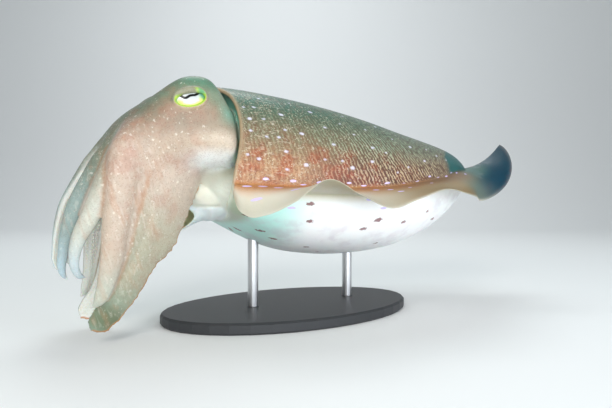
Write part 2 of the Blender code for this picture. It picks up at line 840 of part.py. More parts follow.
# Mouth
def make_mouth(finish):
    """The round mouth in the middle of the crown: a fleshy lip round the beak's tip, turned on one axis."""
    centre, forward, up, *_ = head_frame(1.0)
    mesh = bpy.data.meshes.new("mouth")
    profile = bmesh.new()
    verts = [profile.verts.new(Vector((radius, 0, level)) * MM) for radius, level in MOUTH]
    for a, b in zip(verts, verts[1:]):
        profile.edges.new((a, b))
    profile.to_mesh(mesh)
    profile.free()
    mesh.materials.append(finish)
    mouth = bpy.data.objects.new("mouth", mesh)
    collection.objects.link(mouth)
    turn = mouth.modifiers.new("turn", "SCREW")
    turn.axis = "Z"
    turn.steps = turn.render_steps = MOUTH_STEPS
    turn.use_merge_vertices = True
    turn.merge_threshold = 0.00001
    place = Matrix.Translation((centre + forward * HALF_GAP) * MM) @ turned(forward, up).to_4x4()
    mouth.location = place.translation
    mouth.rotation_euler = place.to_euler()
    return mouth


# Display stand
def make_base(finish):
    """An oval plate with a small chamfer."""
    editing = bmesh.new()
    bmesh.ops.create_cone(editing, cap_ends=True, segments=40, radius1=0.5, radius2=0.5, depth=1)
    editing.transform(Matrix.Diagonal((BASE_LENGTH * MM, BASE_WIDTH * MM, BASE_HEIGHT * MM, 1)))
    base = add_object("stand_base", editing, finish)
    base.location = Vector((STAND_CENTRE, 0, BASE_HEIGHT / 2 - FLOOR_DROP)) * MM
    edge = base.modifiers.new("edge", "BEVEL")
    edge.width = BASE_CHAMFER * MM
    edge.segments = 1


def make_rod(name, x, finish, mantle_room):
    """A rod from the base up to a hair under the belly, whose curve its top follows."""
    foot = BASE_HEIGHT + GAP - FLOOR_DROP
    height = ROD_TOP - foot
    editing = bmesh.new()
    bmesh.ops.create_cone(
        editing, cap_ends=True, segments=20, radius1=ROD_RADIUS, radius2=ROD_RADIUS, depth=height
    )
    editing.transform(Matrix.Scale(MM, 4) @ Matrix.Translation((x, 0, foot + height / 2)))
    cut(add_object(name, editing, finish), [mantle_room])


def build(finishes):
    mantle = make_mantle(finishes["mantle"])
    mantle_room = grown(mantle, TRIM)
    head = make_head_loft(finishes["head"])
    # EXACT leaves this union of eight overlapping roots open
    join(head, make_arms(finishes["arms"]), solver="MANIFOLD")
    cut(head, [crown_block(-HALF_GAP, in_front=True), mantle_room])
    for word, side in (("left", -1), ("right", 1)):
        centre, turn = eye_seat(head, side)
        eye = make_eye(f"eye_{word}", centre, turn, finishes["eye"])
        join(head, [lid_roll(centre, turn, finishes["head"], upper) for upper in (True, False)])
        cut(head, [opening_cutter(centre, turn), grown(eye, TRIM)])
    make_mouth(finishes["beak"])
    funnel = make_funnel(finishes["funnel"])
    cut(funnel, [grown(head, TRIM), mantle_room, arm_room("arm4", -1), arm_room("arm4", 1)])
    for word, keys, side in (("left", FIN_LEFT, -1), ("right", FIN_RIGHT, 1)):
        fin = make_fin(f"fin_{word}", keys, side, finishes["fins"])
        cut(fin, [mantle_room])
        slice_fin(fin, f"fin_{word}")
    make_base(finishes["base"])
    for name, x in RODS:
        make_rod(name, x, finishes["rods"], mantle_room)


clear_scene()
collection = bpy.data.collections.new("pharaoh_cuttlefish")
cutters = bpy.data.collections.new("cutters")
bpy.context.scene.collection.children.link(collection)
bpy.context.scene.collection.children.link(cutters)
build({
    "mantle": material("mantle_skin", SKIN_MANTLE, 0.45),
    "head": material("head_skin", SKIN_PALE, 0.45),
    "arms": material("arm_skin", SKIN_PALE, 0.45),
    "fins": material("fin_skin", SKIN_FIN, 0.45),
    "funnel": material("funnel_skin", SKIN_WHITE, 0.4),
    "eye": material("eye", EYE_GREEN, 0.1),
    "beak": material("beak", BEAK_BROWN, 0.3),
    "base": material("stand_base", STAND_DARK, 0.35),
    "rods": material("stand_rod", STEEL, 0.25, 1.0),
})
for helper in list(cutters.objects):
    drop(helper)
bpy.data.collections.remove(cutters)
body_frame = bpy.data.objects.new("body_frame", None)
collection.objects.link(body_frame)
body_frame.location = Vector((-STAND_CENTRE, 0, FLOOR_DROP)) * MM
for node in list(collection.objects):
    if node.type == "MESH":
        node.parent = body_frame
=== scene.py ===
# %% [markdown]
# # A pharaoh cuttlefish for a display shelf
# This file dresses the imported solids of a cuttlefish: it lays one continuous skin over them, gives it the
# markings of the living animal, sets in the eyes, suckers and mouth, and lights it like a product photograph.
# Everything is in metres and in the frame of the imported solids, so nothing has to be fitted by hand.

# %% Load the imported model
import json
import math
import random

import bpy
import numpy as np
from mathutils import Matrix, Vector
from mathutils.bvhtree import BVHTree
from mathutils.kdtree import KDTree

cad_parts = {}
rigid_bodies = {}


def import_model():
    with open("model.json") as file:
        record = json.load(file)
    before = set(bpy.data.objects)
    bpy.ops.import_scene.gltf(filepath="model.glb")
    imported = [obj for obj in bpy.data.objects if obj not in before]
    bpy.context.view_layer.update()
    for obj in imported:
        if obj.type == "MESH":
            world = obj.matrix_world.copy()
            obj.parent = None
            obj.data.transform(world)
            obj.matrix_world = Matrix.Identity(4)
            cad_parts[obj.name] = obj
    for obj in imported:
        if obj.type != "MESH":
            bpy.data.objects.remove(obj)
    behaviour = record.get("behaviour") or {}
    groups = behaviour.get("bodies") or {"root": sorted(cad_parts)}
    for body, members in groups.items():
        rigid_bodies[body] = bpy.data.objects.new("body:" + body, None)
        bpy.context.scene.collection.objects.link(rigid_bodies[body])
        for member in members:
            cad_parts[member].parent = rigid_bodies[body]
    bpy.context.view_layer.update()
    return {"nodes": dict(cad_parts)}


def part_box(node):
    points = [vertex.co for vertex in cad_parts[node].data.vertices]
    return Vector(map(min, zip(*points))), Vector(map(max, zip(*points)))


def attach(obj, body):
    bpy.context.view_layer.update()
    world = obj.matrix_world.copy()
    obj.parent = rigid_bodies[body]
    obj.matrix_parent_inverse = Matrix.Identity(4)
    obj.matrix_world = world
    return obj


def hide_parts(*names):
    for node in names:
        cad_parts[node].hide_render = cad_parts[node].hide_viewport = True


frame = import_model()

# %% [markdown]
# ## The camera
# The photograph was taken at the height of the animal's middle, level, and a little from behind its left
# cheek's normal, so the head comes towards the lens. A short lens close by gives the same strong perspective:
# the head looks large and the tail small. The camera's sides are level, so only its heading has to be turned.

# %% Camera at the photograph's angle
CAMERA_PLACE = (-0.2323, -0.3951, 0.095)
CAMERA_HEADING = math.radians(32)
PIXELS_PER_RADIAN = 520
PHOTO_WIDTH = 612

camera_data = bpy.data.cameras.new("camera")
camera_data.sensor_width = 36
camera_data.lens = 36 * PIXELS_PER_RADIAN / PHOTO_WIDTH
camera = bpy.data.objects.new("camera", camera_data)
camera.location = CAMERA_PLACE
camera.rotation_euler = (math.pi / 2, 0, -CAMERA_HEADING)
bpy.context.scene.collection.objects.link(camera)
bpy.context.scene.camera = camera
print("lens, mm:", round(camera_data.lens, 2))

# %% [markdown]
# ## Small tools for form
# Every form of the animal is described by a short table of sizes, taken at a few places along it. A smooth
# curve through the table gives the sizes everywhere between. A spline drawn in the viewport could do the
# same, but a table keeps the millimetres readable. A smooth step, ease, is how one thing turns into another.

# %% Curves through tables, and smooth steps
def curve_through(keys, places):
    """Values on the smooth curve through keys, whose first column is the place, at every one of places."""
    table = np.array(keys, float)
    at, values = table[:, 0], table[:, 1:]
    slopes = np.gradient(values, at, axis=0)
    places = np.atleast_1d(np.asarray(places, float))
    i = np.clip(np.searchsorted(at, places) - 1, 0, len(at) - 2)
    span = (at[i + 1] - at[i])[:, None]
    u = np.clip((places[:, None] - at[i][:, None]) / span, 0, 1)
    rest = 1 - u
    return (
        values[i] * (1 + 2 * u) * rest**2
        + values[i + 1] * u**2 * (3 - 2 * u)
        + slopes[i] * span * u * rest**2
        - slopes[i + 1] * span * u**2 * rest
    )


def bent(value, power):
    """value raised to a power with its sign kept, which squares off a circle a little."""
    return np.sign(value) * np.abs(value) ** power


def ease(low, high, value):
    """0 below low, 1 above high, and a smooth rise between them."""
    u = np.clip((np.asarray(value, float) - low) / (high - low), 0, 1)
    return u * u * (3 - 2 * u)


print("a third of the way up a step:", round(float(ease(0, 3, 1)), 3))

# %% [markdown]
# A loft is a stack of rings with a skin of faces over it, which suits everything here: mantle, head, arms,
# funnel and lids are all tubes. Points are given in millimetres in the body's own frame, whose x runs from
# the collar to the tail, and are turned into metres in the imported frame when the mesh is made.

# %% Lofts as meshes
MM = 0.001
BODY_PLACE = np.array([-0.072, 0.0, 0.095])


def skin_rings(rings, last_point=None, flat_ends=False):
    """Points and faces of a closed tube over rings, which all have as many points.

    The ends of a flat sheet are closed with a strip.
    """
    rings = np.asarray(rings, float)
    count, around_count = rings.shape[:2]
    points = rings.reshape(-1, 3)
    k = np.arange(around_count)
    after = (k + 1) % around_count
    end = (count - 1) * around_count
    if flat_ends:
        half = around_count // 2
        faces = [(j + 1, j, around_count - 1 - j, around_count - 2 - j) for j in range(half - 1)]
        faces += [tuple(end + k for k in reversed(face)) for face in faces]
    else:
        faces = [tuple(range(around_count - 1, -1, -1))]
    for r in range(count - 1):
        a, b = r * around_count, (r + 1) * around_count
        faces += np.stack([a + k, a + after, b + after, b + k], 1).tolist()
    if last_point is None and not flat_ends:
        faces.append(tuple(range(end, end + around_count)))
    elif last_point is not None:
        points = np.vstack([points, last_point])
        faces += [(end + j, end + (j + 1) % around_count, len(points) - 1) for j in range(around_count)]
    return points, faces


def mesh_piece(name, points, faces):
    """An object from an array of points in the body frame, in millimetres, and a list of faces."""
    mesh = bpy.data.meshes.new(name)
    mesh.from_pydata((np.asarray(points) * MM + BODY_PLACE).tolist(), [], faces)
    mesh.calc_loop_triangles()
    index = np.empty(len(mesh.loop_triangles) * 3, int)
    mesh.loop_triangles.foreach_get("vertices", index)
    corners = np.asarray(points)[index].reshape(-1, 3, 3)
    if (corners[:, 0] * np.cross(corners[:, 1], corners[:, 2])).sum() < 0:
        mesh.flip_normals()
    mesh.shade_smooth()
    made = bpy.data.objects.new(name, mesh)
    bpy.context.scene.collection.objects.link(made)
    return made


print("the body frame stands at", BODY_PLACE)

# %% [markdown]
# ## How the skin gets its colours
# A cuttlefish wears one continuous skin, but every region has its own ground colour and its own strength of
# each marking. While a region's form is made, each of its points is also given a sample: ground colour, then
# the strengths of the fine lines, the grain, the white dots and the red flush, how thin the flesh is, and two
# coordinates that run along and up the flank. The finished skin later picks up the samples nearest to it, so
# the colours flow over the places where the forms meet.

# %% Samples of ground colour and marking strength
samples = []


def linear(hex_colour):
    """An sRGB hex colour as linear RGBA."""
    parts = [int(hex_colour[i:i + 2], 16) / 255 for i in (1, 3, 5)]
    return tuple(c / 12.92 if c <= 0.04045 else ((c + 0.055) / 1.055) ** 2.4 for c in parts) + (1.0,)


def tint(hex_colour):
    """A hex colour as three linear values."""
    return np.array(linear(hex_colour)[:3])


def mixed(first, second, share):
    """Two colours, or two rows of colours, mixed point by point."""
    share = np.asarray(share, float)[..., None]
    return np.asarray(first) * (1 - share) + np.asarray(second) * share


def add_samples(points, label, coat, lines=0.0, grain=0.0, dots=0.0, flush=0.0, thin=0.0, along=0.0, up=0.0):
    """Keeps one row for every point of a region: place, label and ground colour, then the rest in turn."""
    points = np.asarray(points).reshape(-1, 3)
    rows = np.empty((len(points), 14))
    rows[:, 0:3] = points
    rows[:, 3] = label
    rows[:, 4:7] = np.broadcast_to(coat, (*np.shape(coat)[:-1], 3)).reshape(-1, 3)
    for column, value in enumerate((lines, grain, dots, flush, thin, along, up), 7):
        rows[:, column] = np.broadcast_to(value, len(points)) if np.ndim(value) == 0 else np.ravel(value)
    samples.append(rows)


# Samples of thin sheets, and the places that look them up, are lifted off the skin, so faces can't mix
SAMPLE_LIFT = 0.8
MANTLE_LABEL, HEAD_LABEL, FUNNEL_LABEL, LID_LABEL, FIN_LABEL, ARM_LABEL = 0, 1, 2, 3, 4, 10
print("white is", tint("#ffffff"), "and the arms have the labels above", ARM_LABEL)

# %% [markdown]
# ## The mantle
# The mantle is the body's muscular bag: a broad oval at the collar that tapers to the tail. It is a loft:
# five curves give the heights of back, fin line and belly and the half width at every share of the length,
# and each ring is a superellipse. The front is an open collar, rolled over at its rim, and a little behind it
# the skin of the neck closes the gap to the head. Sine spacing of the rings rounds off the tail.

# %% Form of the mantle
MANTLE_LENGTH = 280
MANTLE_WALL, RIM_WALL = 5, 3
# The skin of the neck closes the collar this far behind the rim, and lies deeper below, round the funnel
NECK_SKIN, FUNNEL_POCKET = 3.5, 14
# How far the rim stands forward above and at its sides, and back beside the prow and below
DORSAL_PROW, SIDE_CORNER, SIDE_NOTCH, VENTRAL_NOTCH = 12, 9.7, 2, 5
PROW_SHARPNESS, NOTCH_SHARPNESS = 20, 6
# The side corner starts a little below the fin line and fades above it. Below, it follows the curve
# cos(angle)^4 * rise, whose peak is at CORNER_END
CORNER_START, CORNER_FADE, CORNER_END, CORNER_PEAK = -0.1, 0.39, -0.447, 0.286
# The share of the length over which the rim's shape fades out
RIM_REACH = 0.35
# Exponents of the superellipse: 2 is an ellipse, and more is squarer
DORSAL_POWER, VENTRAL_POWER = 2.15, 2.0
# share of the length, back's height, fin line's height, belly's height, half width
MANTLE = (
    (0.00, 93, 12, -13, 57), (0.04, 93, 11, -24, 61), (0.10, 91, 10, -36, 68), (0.20, 86, 10, -44, 74),
    (0.30, 79, 12, -45, 75), (0.40, 71, 17, -41.5, 70), (0.50, 65, 22, -33.5, 60), (0.60, 60, 27, -22, 48),
    (0.70, 54.5, 30, -9, 36), (0.80, 46, 33, 4, 25), (0.90, 41, 35, 17, 14), (1.00, 36, 36, 36, 0),
)


def turn_steps(count):
    """Angles that divide a full turn evenly."""
    return np.arange(count) * 2 * math.pi / count


def mantle_share(x):
    """The share of the mantle's curves that belongs to a place x mm behind the collar."""
    return np.arcsin(np.clip(np.asarray(x, float) / MANTLE_LENGTH, 0, 1)) * 2 / math.pi


def rim_x(angle):
    """Where the front rim is: a prow above, a broad corner on each side that reaches down to the funnel."""
    rise = np.sin(angle)
    above = SIDE_NOTCH * np.sin(2 * angle) ** 2 - DORSAL_PROW * np.abs(rise) ** PROW_SHARPNESS
    below = VENTRAL_NOTCH * rise**NOTCH_SHARPNESS
    upper_end = np.exp(-((np.maximum(rise - CORNER_START, 0) / CORNER_FADE) ** 2))
    lower_end = np.where(rise > CORNER_END, 1, np.cos(angle) ** 4 * np.abs(rise) / CORNER_PEAK)
    return np.where(rise > 0, above, below) - SIDE_CORNER * upper_end * lower_end


def mantle_points(share, angle, inset=0.0):
    """Points of the mantle's surface. share and angle are arrays that fit together."""
    share, angle = np.broadcast_arrays(np.asarray(share, float), np.asarray(angle, float))
    top, side, bottom, half_width = curve_through(MANTLE, share.ravel()).T.reshape(4, *share.shape)
    rise = np.sin(angle)
    power = np.where(rise > 0, 2 / DORSAL_POWER, 2 / VENTRAL_POWER)
    height = np.where(rise > 0, top - side, side - bottom)
    fade = np.maximum(0, 1 - share / RIM_REACH) ** 2
    return np.stack([
        MANTLE_LENGTH * np.sin(share * math.pi / 2) + rim_x(angle) * fade,
        -(half_width - inset) * bent(np.cos(angle), power),
        side + (height - inset) * bent(rise, power),
    ], -1)


print("the rim's side corner stands at x =", round(float(rim_x(0.0)), 1))

# %% [markdown]
# The rings are laid from the inside out: the floor of the pocket behind the collar, its wall, the rolled rim,
# and then the whole outside as far as the tail. One closed tube like this has an inside that can be looked
# into, where a cap would have left a disc.

# %% Rings of the mantle
# Points a ring, and rings of the pocket's wall and floor, the rolled rim and the outside: all finer than the
# cells that fuse the body later, so they leave no facets
RING_POINTS, WALL_RINGS, FLOOR_RINGS, RIM_RINGS, OUTER_RINGS = 320, 14, 16, 6, 240
RIM_ROLL = 1.2
NECK_MIDDLE = np.array([12, 0, 42])
sides = turn_steps(RING_POINTS)
# The floor of the pocket starts to deepen a third of the way down, and is deepest under the funnel
floor_x = NECK_SKIN + (FUNNEL_POCKET - NECK_SKIN) * ease(-0.35, -0.9, np.sin(sides))
walls = []
for deep in np.linspace(1, 0, WALL_RINGS):
    ring = mantle_points(deep * mantle_share(floor_x), sides, RIM_WALL + (MANTLE_WALL - RIM_WALL) * deep)
    ring[:, 0] = rim_x(sides) * (1 - deep) + floor_x * deep
    walls.append(ring)
pocket = [NECK_MIDDLE + (walls[0] - NECK_MIDDLE) * reach for reach in np.linspace(0.1, 0.96, FLOOR_RINGS)]
pocket += walls
for turn in np.linspace(0, math.pi, RIM_RINGS + 2)[1:-1]:
    ring = mantle_points(0, sides, RIM_WALL / 2 * (1 + math.cos(turn)))
    ring[:, 0] -= RIM_ROLL * math.sin(turn)
    pocket.append(ring)
outer_shares = np.linspace(0.004, 0.985, OUTER_RINGS)
outer = mantle_points(outer_shares[:, None], sides)
mantle_skin = skin_rings([*pocket, *outer], mantle_points(1.0, 0.0))
print("mantle points:", len(mantle_skin[0]))

# %% [markdown]
# The back is olive grey, the flanks glow in reddish and yellowish browns, and the belly is white: seen from
# below it melts into the bright surface, and from above the back is hard to see. At the belly's front, by the
# collar, its grey green and then mint are painted shade. A cream band follows the fin. Fine pale lines cover
# the flank, closest together towards the tail, and red cells flush its lower half behind the head. Inside the
# collar the skin is pale low down and teal green higher up, which is painted shade of the gap between mantle
# and head, and brownish on the rolled rim. In all these colours, ease(a, b, place) names the two places in
# millimetres between which one turns into the next.

# %% Ground colours of the mantle
x = outer[..., 0]
elevation = np.broadcast_to(np.arcsin(np.sin(sides)), x.shape)
top, side, bottom, half_width = curve_through(MANTLE, outer_shares).T[..., None]
height_up = elevation * np.where(elevation > 0, half_width + top - side, half_width + side - bottom) / 2
rearward = ease(60, 235, x)
flank = mixed(mixed(tint("#b98f6a"), tint("#783a22"), ease(30, 85, x)), tint("#604c3a"), rearward)
middle = mixed(tint("#7e765c"), tint("#28483d"), rearward)
back = mixed(tint("#255a49"), tint("#0b4743"), rearward)
coat = mixed(mixed(flank, middle, ease(8, 36, height_up)), back, ease(28, 70, height_up))
band = mixed(tint("#d9d2c0"), tint("#d3cab6"), rearward)
# The belly's front, by the collar, is painted grey green and then mint: painted shade. It is white further
# back.
belly = mixed(mixed(tint("#b3bfa8"), tint("#c2f0e6"), ease(2, 12, x)), tint("#fbfcfc"), ease(20, 60, x))
coat = mixed(coat, band, ease(1, -3, height_up))
coat = mixed(coat, belly, ease(-3, -13, height_up))
# The last stretch before the tail is smooth, and starts further back along the ridge
smooth_end = ease(-6, 6, x - 208 - 50 * ease(22, 50, height_up))
coat = mixed(coat, tint("#145654"), smooth_end * ease(-3, 6, height_up))
flank_weight = ease(-1, 5, height_up)
textured = flank_weight * (1 - smooth_end)
add_samples(
    outer, MANTLE_LABEL, coat,
    lines=textured * (0.26 + 0.74 * ease(40, 130, x)) * (1 - 0.55 * ease(30, 72, height_up)),
    grain=textured,
    dots=textured * 0.55,
    flush=flank_weight * ease(52, 14, height_up) * ease(200, 90, x),
    along=x,
    up=height_up,
)
inner = np.array(pocket)
height = inner[..., 2]
near_rim = np.broadcast_to(ease(27, 31, np.arange(len(inner)))[:, None], height.shape)
# Higher up inside the collar the teal green is painted shade of the gap between mantle and head; the rolled
# rim is brownish
teal = mixed(tint("#66a893"), tint("#a39073"), near_rim)
inner_coat = mixed(tint("#c6d0c2"), teal, ease(2, 24, height))
add_samples(inner, MANTLE_LABEL, inner_coat, grain=0.25 * ease(2, 24, height))
print("samples of the mantle:", sum(len(lot) for lot in samples))

# %% [markdown]
# ## The head
# The head is a second loft that bends down from the neck, which sits in the mantle's pocket, to the crown of
# arms. Two domes over each eye and a swelling on each cheek are lifted out of it with smooth bumps, the way a
# sculptor adds clay to a core.

# %% Form of the head
HEAD_POWER = 2.4
# share, centre x, centre z, lean below the horizontal in degrees, half width, dorsal and ventral half heights
HEAD = (
    (0.00, 21.7, 42, 0, 31, 28, 26), (0.15, 7, 45, 0, 34, 31, 26), (0.30, -8, 50, 8, 50, 31, 28),
    (0.50, -27, 52, 25, 52, 33, 31), (0.70, -44, 47, 42, 50, 32, 32), (0.85, -56, 39, 54, 46, 30, 31),
    (1.00, -66, 29, 62, 42, 26, 30),
)
# centre on the left, direction that the skin is lifted in, height and spread
SWELLINGS = (
    ((-37, -38, 76), (0.0, -0.38, 0.92), 14, 21),
    ((-17, -36, 80), (0.0, -0.20, 0.98), 7.5, 13),
    ((-12, -48, 42), (0.20, -0.95, -0.20), 4, 16),
)


def head_line(share):
    """Centre, forward and upward directions of the head at each share of its length, and its sizes there."""
    x, z, lean, half_width, dorsal, ventral = curve_through(HEAD, share).T
    lean = np.radians(lean)
    centre = np.stack([x, 0 * x, z], -1)
    forward = np.stack([-np.cos(lean), 0 * x, -np.sin(lean)], -1)
    upward = np.stack([-np.sin(lean), 0 * x, np.cos(lean)], -1)
    return centre, forward, upward, half_width, dorsal, ventral


def swollen(points):
    """Points lifted where the domes over the eyes and the cheeks rise."""
    lifted = points.copy()
    for centre, lift, height, spread in SWELLINGS:
        for side in (1, -1):
            mirror = np.array([1, side, 1])
            near = np.linalg.norm(points - np.array(centre) * mirror, axis=-1) / spread
            lifted += np.array(lift) * mirror * (height * np.exp(-near * near))[..., None]
    return lifted


def head_rings(share, angle):
    """Rings of the head, swellings included: a row for every share, a column for every angle."""
    centre, _, upward, half_width, dorsal, ventral = head_line(share)
    rise = np.sin(angle)
    height = np.where(rise > 0, dorsal[:, None], ventral[:, None]) * bent(rise, 2 / HEAD_POWER)
    points = centre[:, None] + upward[:, None] * height[..., None]
    points[..., 1] -= half_width[:, None] * bent(np.cos(angle), 2 / HEAD_POWER)
    return swollen(points)


head_shares = np.linspace(0, 1, 110)
head_sides = turn_steps(220)
head_grid = head_rings(head_shares, head_sides)
head = mesh_piece("head_core", *skin_rings(head_grid))
print("head points:", head_grid.shape[0] * head_grid.shape[1])

# %% [markdown]
# The forehead carries the back's olive grey forward between the eyes, with fine white specks. The face is
# pinkish beige, and the cheek behind and below the eye is almost white. The neck inside the collar is pale.

# %% Ground colours of the head
x, y, z = np.moveaxis(head_grid, -1, 0)
# The crest is the upper side of the head, and starts behind the collar
crest = ease(0.55, 1.0, np.sin(head_sides))[None, :] * ease(0.05, 0.3, head_shares)[:, None]
face = mixed(tint("#c9b5a3"), tint("#b6a491"), ease(20, 42, z))
face = mixed(face, tint("#958673"), ease(44, 54, z))
cheek = mixed(tint("#fafcfa"), tint("#c9bba8"), ease(31, 42, z))
cheek = mixed(cheek, tint("#9a8b77"), ease(44, 56, z))
coat = mixed(face, cheek, ease(-46, -24, x))
coat = mixed(coat, tint("#7fa893"), ease(-24, -8, x) * ease(50, 66, z))
coat = mixed(coat, tint("#82917a"), ease(64, 76, z))
coat = mixed(coat, tint("#4d8066"), ease(76, 88, z))
coat = mixed(coat, tint("#5f7560"), crest)
coat = mixed(coat, tint("#b4bfb2"), ease(-2, 10, x))
add_samples(
    head_grid, HEAD_LABEL, coat,
    grain=0.4 + 0.5 * crest,
    dots=np.clip(0.4 + crest + 0.4 * ease(-20, -45, x), 0, 1) * ease(5, -8, x),
    flush=0.30 * ease(-10, -35, x),
)
print("samples of the head:", len(samples[-1]))

# %% [markdown]
# ## Where the eyes sit
# Each eye is a flattened ball under the skin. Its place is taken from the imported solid, and its own axes run
# along the slit, upwards, and out along its aim. Lids, openings and pupils are all drawn in these axes.

# %% Places of the eyes
SIDES_OF_BODY = (("left", -1), ("right", 1))
EYE_SIZE = np.array([14.6, 11, 8.6])
EYE_AIM = np.array([-0.20, -1.0, 0.16])
EYE_OPENING = (10.2, 6.4)
# The slit's tail end is the higher one
EYE_TILT = math.radians(12)


def unit(vectors):
    """Vectors of the same direction with length 1."""
    return vectors / np.linalg.norm(vectors, axis=-1, keepdims=True)


def eye_axes(side):
    """Rows: along the slit, upwards, and out of the head."""
    aim = unit(EYE_AIM * (1, -side, 1))
    upward = unit(np.cross(aim, (-side, 0, 0)))
    return np.stack([np.cross(upward, aim), upward, aim])


def eye_centre(word):
    """Centre of a packed eye."""
    low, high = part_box(f"eye_{word}")
    return (np.array((low + high) / 2) - BODY_PLACE) / MM


def tilted(points, way=1):
    """Points of the level opening turned by its tilt, or back with way -1."""
    c, s = math.cos(EYE_TILT), way * math.sin(EYE_TILT)
    return np.asarray(points) @ np.array([[c, s, 0], [-s, c, 0], [0, 0, 1]])


def in_head(points, word, side):
    """Points in an eye's own axes as points of the body frame."""
    return np.asarray(points) @ eye_axes(side) + eye_centre(word)


print("left eye's centre:", np.round(eye_centre("left"), 1))

# %% [markdown]
# The lids are two rolls of skin, thickest in the middle, that follow the edge of the opening above and below.
# They overlap the head, and become a part of it once everything is fused.

# %% Lids
# How far the lids stand out, and how far the upper one hangs down in its middle
LID_RISE, LID_SAG = 1.5, 1.5
# Thickness in their middle, the share of it that is left at the corners, and their line round the opening
UPPER_LID, LOWER_LID, LID_CORNER, LID_LINE = 2.6, 1.6, 0.4, 1.09


def eye_rim(angle, scale):
    """Points of the eye's surface under the edge of the opening, in the eye's own axes."""
    x = EYE_OPENING[0] * scale * np.cos(angle)
    y = EYE_OPENING[1] * scale * np.sin(angle)
    left = 1 - (x / EYE_SIZE[0]) ** 2 - (y / EYE_SIZE[1]) ** 2
    return np.stack([x, y, EYE_SIZE[2] * np.sqrt(np.maximum(left, 0))], -1)


def lid_rings(upper, steps=60, sides=20):
    """A roll of skin along one half of the opening's edge."""
    angle = np.linspace(0, math.pi, steps) * (1 if upper else -1)
    middle = eye_rim(angle, LID_LINE) + (0, 0, LID_RISE)
    middle[:, 1] -= LID_SAG * np.maximum(np.sin(angle), 0) ** 2
    tangent = np.stack([-EYE_OPENING[0] * np.sin(angle), EYE_OPENING[1] * np.cos(angle), 0 * angle], -1)
    across = np.cross((0, 0, 1), unit(tangent))
    swell = LID_CORNER + (1 - LID_CORNER) * np.abs(np.sin(angle)) ** 0.7
    thick = (UPPER_LID if upper else LOWER_LID) * swell
    turn = turn_steps(sides)
    offset = across[:, None] * np.cos(turn)[:, None] + np.array([0, 0, 1]) * np.sin(turn)[:, None]
    return middle[:, None] + offset * thick[:, None, None]


pieces = [mantle_skin]
for word, side in SIDES_OF_BODY:
    for upper in (True, False):
        rings = in_head(tilted(lid_rings(upper)), word, side)
        pieces.append(skin_rings(rings))
        lid_coat = tint("#8b8c75") if upper else tint("#b09d84")
        add_samples(rings, LID_LABEL, np.broadcast_to(lid_coat, rings.shape), grain=0.5, dots=0.3)
print("lids:", len(pieces) - 1)

# %% [markdown]
# A Boolean with an oval prism opens the skin over each eye. Its walls lean outwards, so the edge of the hole
# is a thin ledge under the lids, as in life.

# %% Openings over the eyes
# The cutter as shares of opening and eye: its width halfway out and its flare, its middle's height and reach
CUTTER_WIDTH, CUTTER_FLARE, CUTTER_MIDDLE, CUTTER_REACH = 1.095, 0.155, 0.95, 0.75


def opening_points(sides=64, levels=10):
    """An oval prism that widens outwards."""
    turn = turn_steps(sides)
    rings = []
    for level in np.linspace(-1, 1, levels):
        reach = CUTTER_WIDTH + CUTTER_FLARE * level
        rings.append(np.stack([
            EYE_OPENING[0] * reach * np.cos(turn),
            EYE_OPENING[1] * reach * np.sin(turn),
            np.full(sides, EYE_SIZE[2] * (CUTTER_MIDDLE + CUTTER_REACH * level)),
        ], -1))
    return rings


def apply_modifiers(obj):
    """Makes an object's modifiers part of its mesh."""
    bpy.context.view_layer.update()
    shaped = bpy.data.meshes.new_from_object(obj.evaluated_get(bpy.context.evaluated_depsgraph_get()))
    obj.modifiers.clear()
    old = obj.data
    obj.data = shaped
    bpy.data.meshes.remove(old)


def drop(*unwanted):
    """Removes helper objects and their meshes."""
    for one in unwanted:
        mesh = one.data
        bpy.data.objects.remove(one)
        bpy.data.meshes.remove(mesh)


for word, side in SIDES_OF_BODY:
    opening = mesh_piece("opening", *skin_rings(in_head(tilted(opening_points()), word, side)))
    step = head.modifiers.new("open", "BOOLEAN")
    step.operation, step.solver, step.object = "DIFFERENCE", "EXACT", opening
    apply_modifiers(head)
    drop(opening)
head_points = np.array([v.co for v in head.data.vertices]) / MM - BODY_PLACE / MM
pieces.append((head_points, [list(face.vertices) for face in head.data.polygons]))
drop(head)
print("points of the opened head:", len(head_points))

# %% [markdown]
# ## The arms
# Eight arms hang from the crown in four pairs, held together like a curtain. Each is a tapering loft along a
# path: rounded outside, flatter on the face that carries the suckers. The fourth pair is the widest and has a
# thin keel along its outer edge, whose rim ripples. The right arms are the left ones mirrored, with their
# tips shifted a little, because no animal holds both sides quite alike.

